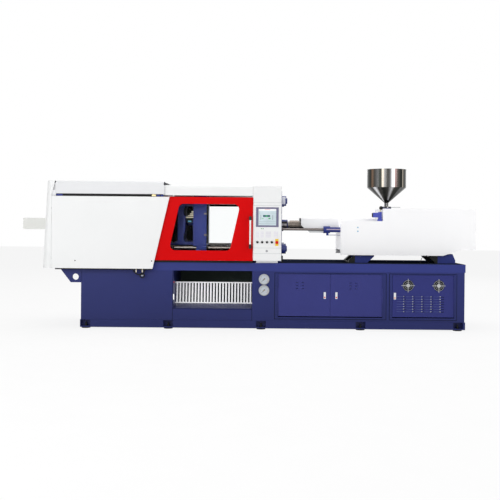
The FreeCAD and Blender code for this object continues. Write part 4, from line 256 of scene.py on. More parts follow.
class Finish:
    """A material with its shader, object coordinates and short ways to add nodes."""

    def __init__(self, name, metallic=0.0, roughness=0.5):
        self.material = bpy.data.materials.new(name)
        self.material.use_nodes = True
        self.tree = self.material.node_tree
        self.shader = self.tree.nodes["Principled BSDF"]
        self.shader.inputs["Metallic"].default_value = metallic
        self.shader.inputs["Roughness"].default_value = roughness
        self.coordinates = self.tree.nodes.new("ShaderNodeTexCoord").outputs["Object"]

    def node(self, kind, **values):
        """Add a node and set its sockets by name, or by number for n1, n2 and so on."""
        made = self.tree.nodes.new(kind)
        for name, value in values.items():
            key = int(name[1:]) if name[0] == "n" and name[1:].isdigit() else name.replace("_", " ")
            if isinstance(value, bpy.types.NodeSocket):
                self.tree.links.new(value, made.inputs[key])
            else:
                made.inputs[key].default_value = value
        return made

    def stretched(self, scale):
        """Object coordinates scaled differently along each axis."""
        return self.node("ShaderNodeMapping", Vector=self.coordinates, Scale=scale).outputs["Vector"]

    def noise(self, scale, detail=3.0, vector=None):
        """A noise between 0 and 1."""
        made = self.node("ShaderNodeTexNoise", Vector=vector or self.coordinates, Scale=scale, Detail=detail)
        return made.outputs["Fac"]

    def ramp(self, factor, *stops):
        """Colours or greys placed along a factor."""
        made = self.node("ShaderNodeValToRGB", Fac=factor)
        elements = made.color_ramp.elements
        while len(elements) < len(stops):
            elements.new(0.5)
        for element, (position, colour) in zip(elements, stops):
            element.position = position
            element.color = colour
        return made.outputs["Color"]

    def maths(self, operation, first, second=0.0):
        """One step of arithmetic."""
        made = self.node("ShaderNodeMath", n0=first, n1=second)
        made.operation = operation
        return made.outputs["Value"]

    def axis(self, name):
        """One object coordinate."""
        return self.node("ShaderNodeSeparateXYZ", Vector=self.coordinates).outputs[name]

    def between(self, value, low, high):
        """One where a value lies between two numbers, else zero."""
        above = self.maths("GREATER_THAN", value, low)
        below = self.maths("LESS_THAN", value, high)
        return self.maths("MULTIPLY", above, below)

    def within(self, **spans):
        """One inside a box given by spans of X, Y and Z, else zero."""
        inside = 1.0
        for name, (low, high) in spans.items():
            inside = self.maths("MULTIPLY", inside, self.between(self.axis(name), low, high))
        return inside

    def patch(self, colour, **spans):
        """Mask a box off and paint it in another colour."""
        self.colour = self.mixed(self.within(**spans), self.colour, colour)
        self.set("Base Color", self.colour)

    def mixed(self, factor, first, second):
        """Blend two colours."""
        made = self.tree.nodes.new("ShaderNodeMix")
        made.data_type = "RGBA"
        sockets = [made.inputs[name] for name in ("Factor", "A", "B")]
        for socket, value in zip(sockets, (factor, first, second)):
            if isinstance(value, bpy.types.NodeSocket):
                self.tree.links.new(value, socket)
            else:
                socket.default_value = value
        return made.outputs["Result"]

    def set(self, socket, value):
        """Drive a socket of the shader."""
        self.tree.links.new(value, self.shader.inputs[socket])

    def relief(self, height, strength, distance):
        """Bump the surface by a height."""
        bump = self.node("ShaderNodeBump", Height=height, Strength=strength, Distance=distance)
        self.set("Normal", bump.outputs["Normal"])


def grey(level):
    """A grey stop for a ramp."""
    return (level, level, level, 1.0)


def painted(name, colour, roughness=0.38, peel=0.06, drift=0.05, sheen=0.5):
    """Sprayed enamel: colour drifts over half a metre, gloss over a hand's width, peel over millimetres."""
    finish = Finish(name)
    finish.shader.inputs["Specular IOR Level"].default_value = sheen
    broad = finish.noise(1.3, 4.0)
    finish.colour = finish.ramp(broad, (0.3, shade(colour, 1 - drift)), (0.7, shade(colour, 1 + drift)))
    finish.set("Base Color", finish.colour)
    rubbed = finish.noise(6.0, 5.0)
    finish.set("Roughness", finish.ramp(rubbed, (0.3, grey(roughness * 0.85)), (0.75, grey(roughness * 1.2))))
    finish.relief(finish.noise(420.0, 2.0), peel, 0.0006)
    return finish


def metal(name, colour, roughness=0.3, grain=(40, 40, 900), depth=0.15, drift=0.12):
    """Machined steel: fine scratches run one way, so the noise is stretched the other way."""
    finish = Finish(name, metallic=1.0)
    lines = finish.noise(1.0, 4.0, finish.stretched(grain))
    broad = finish.noise(5.0, 3.0)
    finish.colour = finish.ramp(broad, (0.3, shade(colour, 1 - drift)), (0.7, shade(colour, 1 + drift)))
    finish.set("Base Color", finish.colour)
    finish.set("Roughness", finish.ramp(lines, (0.2, grey(roughness * 0.7)), (0.8, grey(roughness * 1.35))))
    finish.relief(lines, depth, 0.0003)
    return finish


def moulded(name, colour, roughness=0.45, grain=0.12, sheen=0.4):
    """Moulded plastic or rubber: an even colour with a fine spark-eroded grain."""
    finish = Finish(name)
    finish.shader.inputs["Specular IOR Level"].default_value = sheen
    broad = finish.noise(9.0, 3.0)
    finish.colour = finish.ramp(broad, (0.3, shade(colour, 0.93)), (0.7, shade(colour, 1.07)))
    finish.set("Base Color", finish.colour)
    rubbed = finish.noise(60.0)
    finish.set("Roughness", finish.ramp(rubbed, (0.3, grey(roughness * 0.85)), (0.7, grey(roughness * 1.15))))
    finish.relief(finish.noise(1400.0, 2.0), grain, 0.0002)
    return finish


print("middle grey as light:", round(linear(128, 128, 128)[0], 3))

# %% [markdown]
# ## The paints of this machine
#
# A dark blue for the bed, a clearer blue for the working parts, white covers, a
# signal red door, and black where nobody is meant to look. One function sprays
# them all, so each line only says a colour and how much it differs from the rest.

# %% Paint colours
BED_BLUE = linear(45, 54, 123)
WORK_BLUE = linear(42, 54, 126)
COVER_WHITE = linear(235, 236, 236)
SIGNAL_RED = linear(210, 3, 6)
# A black for paint and for painted shade.
BLACK_AND_SHADE = linear(22, 25, 24)
BLUE_SHEEN, DOOR_SHEEN = 0.22, 0.2
POWDER_COAT = {"roughness": 0.42, "peel": 0.10, "drift": 0.012}
print("bed blue as light:", [round(part, 3) for part in BED_BLUE[:3]])

# %% Enamels and powder coats
blue_paint = painted("blue enamel", WORK_BLUE, sheen=BLUE_SHEEN)
door_paint = painted("bed door enamel", linear(49, 53, 117), sheen=DOOR_SHEEN)
fan_door_paint = painted("fan door enamel", linear(42, 47, 111), sheen=DOOR_SHEEN)
# The white powder coat comes in lit and shaded copies: the guards' white is painted lighter, the rear hood's
# and the cylinder guard's white darker, as painted light and shade.
white_paint = painted("white powder coat", COVER_WHITE, **POWDER_COAT)
lit_white = painted("bright powder coat", linear(250, 250, 251), roughness=0.42, peel=0.08, drift=0.008)
# A dark strip at the barrel guard's left end is painted shade along that edge.
lit_white.patch(BLACK_AND_SHADE, X=(0.68, 0.700))
shaded_hood_white = painted("hood powder coat", linear(226, 227, 229), **POWDER_COAT)
shaded_tail_white = painted("tail powder coat", linear(226, 227, 223), **POWDER_COAT)
red_paint = painted("red enamel", SIGNAL_RED, roughness=0.34, drift=0.03, sheen=0.06)
black_paint = painted("black paint", BLACK_AND_SHADE, roughness=0.6, drift=0.2, sheen=0.2)
grille_paint = painted("grille powder coat", linear(252, 252, 253), roughness=0.35, drift=0.01)
valve_paint = painted("valve enamel", linear(74, 84, 176), sheen=0.25)
louvre_highlight_paint = painted("louvre enamel", linear(80, 88, 146), sheen=BLUE_SHEEN)
plate_paint = painted("grey enamel", linear(196, 200, 202), drift=0.04)
print("enamels and powder coats ready")

# %% Bare metals
steel = metal("zinc plated steel", linear(176, 178, 180), 0.34, (60, 60, 60))
ground_steel = metal("ground steel", linear(222, 222, 224), 0.22, (900, 60, 60))
dark_steel = metal("heat darkened steel", linear(120, 114, 108), 0.38, (200, 60, 60), drift=0.3)
band_steel = metal("heater band steel", linear(112, 104, 98), 0.3, (60, 200, 200), drift=0.2)
rod_steel = metal("shift rod steel", linear(122, 114, 112), 0.26, (900, 60, 60))
chrome = metal("chrome", linear(225, 226, 228), 0.10, (30, 30, 30), 0.03, 0.03)
brass = metal("brass", linear(206, 186, 140), 0.3, (80, 80, 80), 0.1, 0.1)
print("metals ready")

# %% Plastics and rubber
black_plastic = moulded("black plastic", linear(16, 16, 18), 0.6, sheen=0.15)
red_plastic = moulded("red plastic", linear(206, 16, 20), 0.3, 0.03, sheen=0.2)
cream_plastic = moulded("cream plastic", linear(226, 216, 190), 0.4)
blue_plastic = moulded("pale blue plastic", linear(90, 170, 205), 0.35)
orange_plastic = moulded("orange plastic", linear(226, 120, 40), 0.35)
green_plastic = moulded("green plastic", linear(40, 150, 70), 0.3)
key_plastic = moulded("key plastic", linear(226, 224, 233), 0.5)
rubber = moulded("black rubber", linear(18, 18, 19), 0.55, sheen=0.2)
print("plastics ready")

# %% [markdown]
# ## Two whites that glow
#
# The chute's grille and the left end plate of the guard are lit so strongly that
# they show no shade at all, while soft lamps leave both a pale grey. A faint glow
# brings them back to plain white. It stands in for that strong light and isn't a
# property of the paint.

# %% Glowing whites
GRILLE_GLOW, END_PLATE_GLOW = 0.20, 0.30
for finish in (grille_paint, lit_white):
    finish.shader.inputs["Emission Color"].default_value = (1.0, 1.0, 1.0, 1.0)
grille_paint.shader.inputs["Emission Strength"].default_value = GRILLE_GLOW
end_plate = lit_white.within(X=(1.19, 1.2015), Y=(-0.326, 0.326))
lit_white.set("Emission Strength", lit_white.maths("MULTIPLY", end_plate, END_PLATE_GLOW))
print("glow:", GRILLE_GLOW, "on the grille,", END_PLATE_GLOW, "on the end plate")

# %% [markdown]
# ## The bed's paint
#
# The bed is one welded piece, but it isn't one colour. Below the beam its blue is painted darker, with
# painted shade that deepens towards the floor; its deck is nearly black, and so is the inside of the drop
# chute.
# Position and surface direction tell them apart, which is how a painter's masking
# tape works too. Thin dark strips stand in for the gaps round the doors.

# %% Bed paint
DECK_LEVEL, FACING_UP = 0.815, 0.5
CHUTE = {"X": (-0.902, 0.074), "Y": (-0.21, 0.5385), "Z": (0.1, 0.80)}
bed_paint = painted("bed enamel", BED_BLUE, sheen=BLUE_SHEEN)
height = bed_paint.axis("Z")
# Below the beam the blue is painted darker, and it darkens further towards the floor as painted shade.
darker_below = bed_paint.ramp(height, (0.05, grey(0.56)), (0.62, grey(0.70)), (0.71, grey(0.72)), (0.725, grey(1.0)))
bed_darker_below = bed_paint.node("ShaderNodeVectorMath", n0=bed_paint.colour, n1=darker_below)
bed_darker_below.operation = "MULTIPLY"
normal = bed_paint.node("ShaderNodeNewGeometry").outputs["Normal"]
up = bed_paint.node("ShaderNodeSeparateXYZ", Vector=normal).outputs["Z"]
deck = bed_paint.maths("MULTIPLY", bed_paint.maths("GREATER_THAN", up, FACING_UP),
                       bed_paint.maths("GREATER_THAN", height, DECK_LEVEL))
deep = bed_paint.within(**CHUTE)
print("bed paint masks the deck above", DECK_LEVEL, "m and the chute")

# %% Seams of the bed
BED_FRONT = (-0.56, -0.53)
CHUTE_SIDES, CHUTE_HEIGHTS, HALF_SEAM = (-0.912, 0.073), (0.105, 0.722), 0.0025
DOORWAYS, DOOR_GAP = ((0.352, 1.742), (1.776, 2.618)), 0.006


def also(masked, extra):
    """What is masked off so far together with one more mask: the larger of the two."""
    return bed_paint.maths("MAXIMUM", masked, extra)


masked = also(deck, deep)
for x in CHUTE_SIDES:
    masked = also(masked, bed_paint.within(X=(x - HALF_SEAM, x + HALF_SEAM), Y=BED_FRONT, Z=CHUTE_HEIGHTS))
for left, right in DOORWAYS:
    outer = bed_paint.within(X=(left, right), Y=BED_FRONT, Z=(0.128, 0.704))
    inner = bed_paint.within(X=(left + DOOR_GAP, right - DOOR_GAP), Y=BED_FRONT, Z=(0.134, 0.698))
    masked = also(masked, bed_paint.maths("SUBTRACT", outer, inner))
masked = also(masked, bed_paint.within(X=CHUTE_SIDES, Y=BED_FRONT, Z=(0.2435, 0.2485)))
print("seams round", len(DOORWAYS), "doorways and", len(CHUTE_SIDES), "chute sides")

# %% Dark parts of the bed
dark_parts = bed_paint.mixed(deep, BLACK_AND_SHADE, linear(74, 84, 80))
dark_parts = bed_paint.mixed(deck, dark_parts, linear(38, 43, 60))
bed_paint.set("Base Color", bed_paint.mixed(masked, bed_darker_below.outputs[0], dark_parts))
open_paint = bed_paint.maths("SUBTRACT", 1.0, masked)
bed_paint.set("Specular IOR Level", bed_paint.maths("MULTIPLY", open_paint, BLUE_SHEEN))
print("masked parts of the bed have no sheen")

# %% [markdown]
# ## Paint laid over a mask
#
# Some parts show a second colour on the same piece of steel: the nozzle's hub, the feet, the handle's ends,
# the cabinet's frame and seams, and the gauges' dials. Others carry painted light: a painted highlight along
# the nozzle's hub and along the shift cylinders, and painted shade on the inside of the rear door. A box
# given in metres masks each one off, because a second mesh as thin as paint would flicker.

# %% Blue parts with a second colour and painted highlights
NOZZLE_HEIGHT = 1.298
HUB_HEIGHTS = (NOZZLE_HEIGHT - 0.045, NOZZLE_HEIGHT + 0.045)
platen_paint = painted("fixed platen enamel", WORK_BLUE, sheen=BLUE_SHEEN)
platen_paint.patch(linear(44, 40, 42), X=(0.446, 0.526), Z=HUB_HEIGHTS)
# The pale band through the middle of the hub is a painted highlight; the narrow dark band is a joint.
platen_paint.patch(linear(196, 190, 186), X=(0.450, 0.520), Z=(NOZZLE_HEIGHT - 0.014, NOZZLE_HEIGHT + 0.016))
platen_paint.patch(linear(60, 54, 54), X=(0.478, 0.487), Z=HUB_HEIGHTS)
cylinder_paint = painted("cylinder enamel", WORK_BLUE, sheen=BLUE_SHEEN)
# The pale stripe along the front of the shift cylinders is a painted highlight.
cylinder_paint.patch(linear(178, 164, 182), X=(1.02, 1.6), Y=(-0.30, -0.20), Z=(1.237, 1.251))
foot_paint = painted("foot enamel", WORK_BLUE, sheen=BLUE_SHEEN)
for foot_end in ((1.20, 1.385), (2.30, 2.44)):
    foot_paint.patch(BLACK_AND_SHADE, X=foot_end, Z=(0.80, 1.0))
foot_paint.patch(linear(240, 240, 241), X=(1.64, 2.30), Z=(0.90, 1.0))
print("hub, cylinders and feet masked")

# %% Rear door, handle and cabinet
rear_door_paint = painted("rear door enamel", SIGNAL_RED, roughness=0.30, drift=0.03, sheen=0.12)
# The inside of the rear door is painted black: painted shade where it faces into the machine.
rear_door_paint.patch(BLACK_AND_SHADE, Y=(0.50, 0.5975))
handle_plastic = moulded("handle plastic", linear(240, 240, 238), 0.35, 0.05)
for handle_end in ((1.352, 1.45), (0.95, 1.056)):
    handle_plastic.patch(linear(24, 24, 25), Z=handle_end)
cabinet_paint = painted("cabinet powder coat", COVER_WHITE, **POWDER_COAT)
cabinet_paint.patch(linear(104, 102, 132), X=(0.112, 0.397), Y=(-0.64, -0.6255), Z=(1.268, 1.515))
HALF_CABINET_SEAM = 0.0015
for seam in (0.943, 1.011, 1.534, 1.571):
    seam_heights = (seam - HALF_CABINET_SEAM, seam + HALF_CABINET_SEAM)
    cabinet_paint.patch(linear(186, 192, 194), X=(0.05, 0.45), Y=(-0.66, -0.60), Z=seam_heights)
cabinet_paint.patch(linear(240, 205, 40), X=(0.352, 0.396), Y=(-0.64, -0.6235), Z=(1.036, 1.126))
cabinet_paint.patch(linear(104, 106, 110), X=(0.236, 0.264), Y=(-0.64, -0.6245), Z=(0.960, 0.988))
print("rear door, handle and cabinet masked")

# %% Gauge cases with pale dials
case_steel = metal("gauge case steel", linear(176, 178, 180), 0.34, (60, 60, 60))
dial = case_steel.within(Y=(-0.5512, -0.5485))
case_steel.set("Base Color", case_steel.mixed(dial, case_steel.colour, linear(196, 202, 210)))
case_steel.set("Metallic", case_steel.maths("SUBTRACT", 1.0, dial))
print("the dials are paint, the cases steel")

# %% [markdown]
# ## Tie bars with blue nuts
#
# A bar and its nuts are one node here. The nuts are painted with the platen, so
# everything past the platen's rear face turns blue and stops being metal, apart
# from the lit face of the upper nuts. Between the platens the bars lie in the
# shadow of the covers, and darker bands of steel stand in for it.

# %% Tie bars
NUTS_START, SHADED_BARS = 0.4415, (-1.10, 0.20)
bar_steel = metal("ground bar with painted nuts", linear(196, 198, 200), 0.2, (900, 60, 60))
nut_end = bar_steel.maths("GREATER_THAN", bar_steel.axis("X"), NUTS_START)
bar_steel.colour = bar_steel.mixed(nut_end, bar_steel.colour, WORK_BLUE)
bar_steel.patch(linear(118, 110, 106), X=SHADED_BARS, Z=(0.9, 1.1))
bar_steel.patch(linear(40, 38, 40), X=SHADED_BARS, Z=(1.5, 1.7))
bar_steel.patch(linear(228, 230, 238), X=(NUTS_START, 0.486), Z=(1.556, 1.648))
bar_steel.set("Metallic", bar_steel.maths("SUBTRACT", 1.0, nut_end))
print("nuts are painted from x =", NUTS_START)

# %% [markdown]
# ## The screen
#
# The screen shows a pale page with a title strip, three rules and a few coloured
# fields. Each is a box of colour on the screen's own face, so it stays sharp and
# needs no picture file.

# %% Display
display = moulded("display glass", linear(202, 218, 224), 0.18, 0.02)
display.patch(linear(246, 247, 248), Z=(1.470, 1.50))
display.patch(linear(220, 60, 60), X=(0.222, 0.290), Z=(1.4835, 1.4870))
display.patch(linear(40, 92, 100), X=(0.201, 0.287), Z=(1.394, 1.418))
display.patch(linear(60, 176, 110), X=(0.234, 0.255), Z=(1.398, 1.414))
display.patch(linear(150, 214, 170), X=(0.189, 0.2075), Z=(1.368, 1.382))
display.patch(linear(70, 176, 100), X=(0.268, 0.294), Z=(1.368, 1.382))
for tick in (0.172, 0.318):
    display.patch(linear(130, 140, 146), X=(tick, tick + 0.005), Z=(1.360, 1.420))
for line in (1.31, 1.335, 1.44):
    display.patch(linear(172, 190, 196), X=(0.150, 0.360), Z=(line, line + 0.0035))
print("screen page ready")

# %% [markdown]
# ## Clear panes
#
# The doors have panes of clear plastic. Light has to pass through them, so the
# shader transmits it all. Real plastic bends light more than this: the low index
# keeps what stands behind the pane in its true place.

# %% Clear pane
pane = Finish("clear pane", roughness=0.03)
pane.shader.inputs["Base Color"].default_value = (0.98, 0.99, 0.99, 1.0)
pane.shader.inputs["Transmission Weight"].default_value = 1.0
pane.shader.inputs["IOR"].default_value = 1.1
pane.relief(pane.noise(3.0, 2.0), 0.02, 0.001)
print("pane index:", round(pane.shader.inputs["IOR"].default_value, 2))

# %% [markdown]
# ## Polished steel for the hopper
#
# Spun stainless steel shows tall bright and dark stripes, because it mirrors the room round it. Here those
# reflections are painted into the colour as stripes read from the angle about the hopper's own axis, and a
# noise stretched along the circle makes them wobble. Fine scratches run round the cone.

# %% Hopper steel
HOPPER_AXIS_X, CONE_TOP = 1.823, 1.792
STRIPES_START, STRIPES_WOBBLE = 0.493, 0.014
hopper_steel = Finish("spun stainless steel", metallic=1.0)
from_axis = hopper_steel.node("ShaderNodeMapping", Vector=hopper_steel.coordinates,
                              Location=(-HOPPER_AXIS_X, 0.0, 0.0)).outputs["Vector"]
part = hopper_steel.node("ShaderNodeSeparateXYZ", Vector=from_axis).outputs
angle = hopper_steel.maths("ARCTAN2", part["Y"], part["X"])
around = hopper_steel.node("ShaderNodeCombineXYZ", X=hopper_steel.maths("MULTIPLY", angle, 2.2),
                           Y=hopper_steel.maths("MULTIPLY", part["Z"], 0.15)).outputs["Vector"]
wobble = hopper_steel.maths("MULTIPLY", hopper_steel.noise(2.4, 2.0, around), STRIPES_WOBBLE)
turn = hopper_steel.maths("ADD", hopper_steel.maths("DIVIDE", angle, 2 * math.pi), STRIPES_START)
turn = hopper_steel.maths("ADD", turn, wobble)
# The colours below are painted reflections: dark, pale and tinted stripes of the room round the cylinder and
# the cone.
DARK, SLATE, TIN = linear(42, 44, 41), linear(74, 73, 70), linear(112, 112, 112)
TAN, CREAM, PALE = linear(128, 104, 86), linear(190, 180, 166), linear(236, 236, 238)
ROSE = linear(110, 90, 88)
cylinder = hopper_steel.ramp(turn, (0.0, DARK), (0.075, DARK), (0.095, TAN), (0.120, SLATE), (0.145, TIN),
                             (0.165, DARK), (0.182, DARK), (0.192, CREAM), (0.204, TIN), (0.234, SLATE),
                             (0.254, TIN), (0.266, PALE), (0.280, PALE), (0.292, ROSE), (0.332, SLATE),
                             (0.350, DARK), (0.368, DARK), (0.376, CREAM), (0.388, DARK), (0.50, DARK),
                             (0.56, SLATE), (0.62, PALE), (0.68, DARK), (0.76, CREAM), (0.80, TIN),
                             (0.88, SLATE), (0.96, DARK))
cone = hopper_steel.ramp(turn, (0.0, DARK), (0.09, DARK), (0.12, PALE), (0.145, SLATE), (0.20, DARK),
                         (0.24, SLATE), (0.27, PALE), (0.29, SLATE), (0.34, DARK), (0.36, TIN),
                         (0.39, DARK), (0.55, SLATE), (0.70, TIN), (0.85, DARK))
in_cone = hopper_steel.maths("LESS_THAN", part["Z"], CONE_TOP)
hopper_steel.set("Base Color", hopper_steel.mixed(in_cone, cylinder, cone))
scratches = hopper_steel.noise(1.0, 3.0, hopper_steel.stretched((12, 12, 1400)))
hopper_steel.set("Roughness", hopper_steel.ramp(scratches, (0.2, grey(0.12)), (0.8, grey(0.26))))
hopper_steel.relief(scratches, 0.08, 0.0002)
print("hopper steel follows the angle about x =", HOPPER_AXIS_X)

# %% [markdown]
# ## Dress the CAD parts
#
# Each carried-over part keeps its mesh and only gets a finish in its slots.

# %% Finish for each node
WEAR = {
    bed_paint: "bed_frame",
    door_paint: "left_cabinet_door right_cabinet_door",
    fan_door_paint: "fan_door",
    blue_paint: "pump_unit moving_platen tail_platen clamp_cylinder ejector_plate crosshead "
                "upper_front_link upper_rear_link upper_crosshead_link lower_front_link lower_rear_link "
                "lower_crosshead_link carriage injection_cylinders drive_plate",
    cylinder_paint: "shift_cylinders",
    platen_paint: "fixed_platen",
    foot_paint: "injection_base",
    white_paint: "tail_cover front_side_cover rear_side_cover front_hood",
    shaded_hood_white: "rear_hood",
    shaded_tail_white: "cylinder_guard",
    lit_white: "barrel_guard injection_guard",
    cabinet_paint: "control_cabinet",
    red_paint: "front_door",
    rear_door_paint: "rear_door",
    black_paint: "levelling_pads guard_frame upper_gauge_needle lower_gauge_needle",
    grille_paint: "chute_grille",
    plate_paint: "electrical_plate",
    steel: "fan_guards slide_gate",
    case_steel: "gauge_cases",
    chrome: "left_lock_lever right_lock_lever fan_lock_lever",
    bar_steel: "tie_bars",
    ground_steel: "screw",
    rod_steel: "shift_rods",
    dark_steel: "barrel",
    hopper_steel: "hopper",
    pane: "front_door_window rear_door_window",
    black_plastic: "left_fan_rotor right_fan_rotor first_button second_button third_button fourth_button",
    red_plastic: "emergency_stop_button",
    handle_plastic: "front_door_handle",
}
dressed = []
for finish, names in WEAR.items():
    for name in names.split():
        nodes[name].data.materials.clear()
        nodes[name].data.materials.append(finish.material)
        dressed.append(name)
print("dressed", len(dressed), "left plain:", sorted(set(nodes) - set(dressed)))

# %% [markdown]
# ## Small fittings
#
# The CAD holds everything that moves or carries load. What is left are the
# small things that make a machine look used and real: dial marks, keys, screw
# heads, louvre lips, a valve and two hoses. Each rides on the body it's screwed
# to, so it follows when that body moves.

# %% Fitting helpers
MARK_THICKNESS = 0.0008


def block(low, high, **rounding):
    """A slab given by its two corners as plain tuples."""
    return slab(np.array(low, float), np.array(high, float), **rounding)


def button(x, y, z, radius, height=0.003):
    """A low round head that faces the front: a short turned form with a softened rim."""
    return turned((x, y, z), "Y", [(0.0, radius), (-0.6 * height, radius), (-height, 0.75 * radius)], 24)


def hollow(centre, axis, outline, sides=40):
    """A ring whose section is a closed outline of (along, radius) pairs."""
    points, _ = turned(centre, axis, outline, sides)
    return ring_surface(points.reshape(len(outline), sides, 3))


def dial_mark(x, y, z, angle, inner, outer, width):
    """A thin bar that points at the dial's centre: corner = centre + reach on the ray, half a width aside."""
    ray = np.array([math.cos(angle), 0.0, math.sin(angle)])
    side = np.array([-ray[2], 0.0, ray[0]]) * width / 2
    front = np.array([(x, y, z) + ray * inner - side, (x, y, z) + ray * outer - side,
                      (x, y, z) + ray * outer + side, (x, y, z) + ray * inner + side])
    return tube_surface(np.stack([front, front + (0, MARK_THICKNESS, 0)]))


# %% [markdown]
# ## Pressure gauges
#
# A dial has a long mark at every fourth step and short ones between, over three
# quarters of a turn, with a red stretch at its end. On a real dial they are ink.
# Thin bars do the same here and keep their edges at any distance.

# %% Pressure gauges
GAUGE_X, GAUGE_LEVELS, DIAL_FACE, HUB_FACE = 0.222, (0.621, 0.484), -0.550, -0.5575
MARK_FACE = DIAL_FACE - 0.0006
MARKS, MARKS_START, MARKS_SWEEP = 25, 225, 270
marks = []
for level in GAUGE_LEVELS:
    for step in range(MARKS):
        angle = math.radians(MARKS_START - step * MARKS_SWEEP / (MARKS - 1))
        inner, width = (0.038, 0.0020) if step % 4 == 0 else (0.043, 0.0010)
        marks.append(dial_mark(GAUGE_X, MARK_FACE, level, angle, inner, 0.048, width))
piece("gauge_marks", marks, black_paint, "frame", smooth=False)
red_marks = [dial_mark(GAUGE_X, MARK_FACE, level, math.radians(-30 + 3 * step), 0.049, 0.0515, 0.0026)
             for level in GAUGE_LEVELS for step in range(8)]
piece("gauge_limits", red_marks, red_plastic, "frame", smooth=False)
hubs = [button(GAUGE_X, HUB_FACE, level, 0.006, 0.0025) for level in GAUGE_LEVELS]
piece("needle_hubs", hubs, brass, "frame")
print("gauges: marks", len(marks), "limits", len(red_marks))

# %% [markdown]
# ## The operator's panel
#
# Four groups of small keys stand under the screen, with two lamps and a row of
# push buttons. Equal keys at an equal pitch are a loop's work, so each group only
# gives its two ends and its number of columns.

# %% Operator panel
PANEL_FACE, KEY_FACE = -0.6228, -0.6245
KEY_LEVEL, KEY_PITCH, KEY_HEIGHT, KEY_ROWS, KEY_SHARE = 1.142, 0.0195, 0.0135, 4, 0.8
KEY_GROUPS = ((0.120, 0.155, 2), (0.173, 0.214, 2), (0.236, 0.305, 4), (0.337, 0.391, 3))
BUTTONS_X, BUTTON_LEVEL = (0.135, 0.194, 0.254, 0.313), 1.084
COLLAR_SECTION = [(0.0, 0.0120), (0.0, 0.0155), (-0.0022, 0.0148), (-0.0022, 0.0120)]
piece("panel_screen", [block((0.1455, -0.6236, 1.2905), (0.3635, -0.6215, 1.4925), corner=0.003)],
      display, "frame")
keys = []
for left, right, columns in KEY_GROUPS:
    pitch = (right - left) / columns
    for column in range(columns):
        for row in range(KEY_ROWS):
            x, z = left + column * pitch, KEY_LEVEL + row * KEY_PITCH
            keys.append(block((x, KEY_FACE, z), (x + pitch * KEY_SHARE, PANEL_FACE, z + KEY_HEIGHT),
                              corner=0.002, edge=0.0006))
piece("panel_keys", keys, key_plastic, "frame")
lights = [block((x, -0.6250, 1.245), (x + 0.015, PANEL_FACE, 1.253)) for x in (0.175, 0.197)]
piece("panel_lights", lights, green_plastic, "frame")
collars = [hollow((x, PANEL_FACE, BUTTON_LEVEL), "Y", COLLAR_SECTION) for x in BUTTONS_X]
piece("button_collars", collars, black_plastic, "frame")
piece("cabinet_lock", [button(0.250, -0.6255, 0.974, 0.0060, 0.003)], chrome,
      "frame")
piece("deck_stand", [block((0.435, -0.545, 0.822), (0.453, -0.505, 0.916))], black_plastic,
      "frame")
print("panel:", len(keys), "keys")

# %% [markdown]
# ## Locks, louvres and screws
#
# Each lock lever has a coloured spot. The fan door is pressed out into rows of louvres; a paler lip with a
# bright end, both painted highlights, picks each of them out. A louvre is cut and bent from the sheet in one
# stroke; here the lips are small slabs on it.

# %% Locks and louvres
LOCKS = (("left_lock_lever", 0.976, red_plastic), ("right_lock_lever", 1.120, red_plastic),
         ("fan_lock_lever", 1.845, orange_plastic))
LOUVRES = [(1.914 + 0.113 * column, 0.229 + 0.031 * row) for column in range(5) for row in range(7)]
HALF_LOUVRE = 0.046
for lever, x, finish in LOCKS:
    piece(lever + "_mark", [button(x, -0.5578, 0.404, 0.0090, 0.0014)], finish, lever)
# The lips' paler blue and the ends' pale grey are painted highlights.
louvre_lips = [block((x - HALF_LOUVRE, -0.5515, z + 0.0030), (x + HALF_LOUVRE, -0.5465, z + 0.0075),
                     corner=0.002) for x, z in LOUVRES]
louvre_ends = [block((x + 0.036, -0.5530, z + 0.0035), (x + HALF_LOUVRE, -0.5465, z + 0.0115),
                     corner=0.002) for x, z in LOUVRES]
piece("louvre_ends", louvre_ends, plate_paint, "fan_door")
piece("louvre_lips", louvre_lips, louvre_highlight_paint, "fan_door")
print("louvres:", len(LOUVRES))

# %% Screws and the cover's seal
heads = [button(x, -0.6398, z, 0.0075) for x, z in ((-2.105, 0.838), (-1.163, 0.840))]
piece("cover_screws", heads, black_paint, "frame")
piece("cover_seal", [block((-2.352, -0.637, 0.7290), (-1.158, -0.604, 0.7450), corner=0.002)],
      rubber, "frame")
guard_heads = [button(1.409, -0.3298, z, 0.0085) for z in (1.272, 1.224)]
piece("guard_screws", guard_heads, blue_plastic, "carriage")
print("screw heads:", len(heads) + len(guard_heads))

# %% [markdown]
# ## Chute fittings
#
# A latch and a small red lamp sit on the side wall of the chute where moulded
# parts drop out. A slab and a turned form are enough for both.

# %% Chute fittings
# The latch shares the grille's paint, so it glows faintly too.
piece("chute_latch", [block((-0.9045, -0.548, 0.359), (-0.8925, -0.530, 0.4285))], grille_paint,
      "frame")
piece("chute_lamp", [turned((-0.9045, -0.515, 0.5755), "X", [(0.0, 0.008), (0.008, 0.008), (0.012, 0.004)],
                            20)], red_plastic, "frame")
print("chute fittings ready")

# %% [markdown]
# ## The gap above the side cover
#
# Between the side cover and the hood above it runs a narrow gap. A dark rubber strip fills it as painted
# shade, three blue brackets and a brass latch sit in it, and the hood's folded lips close its ends. All of
# them are slabs between two corners.

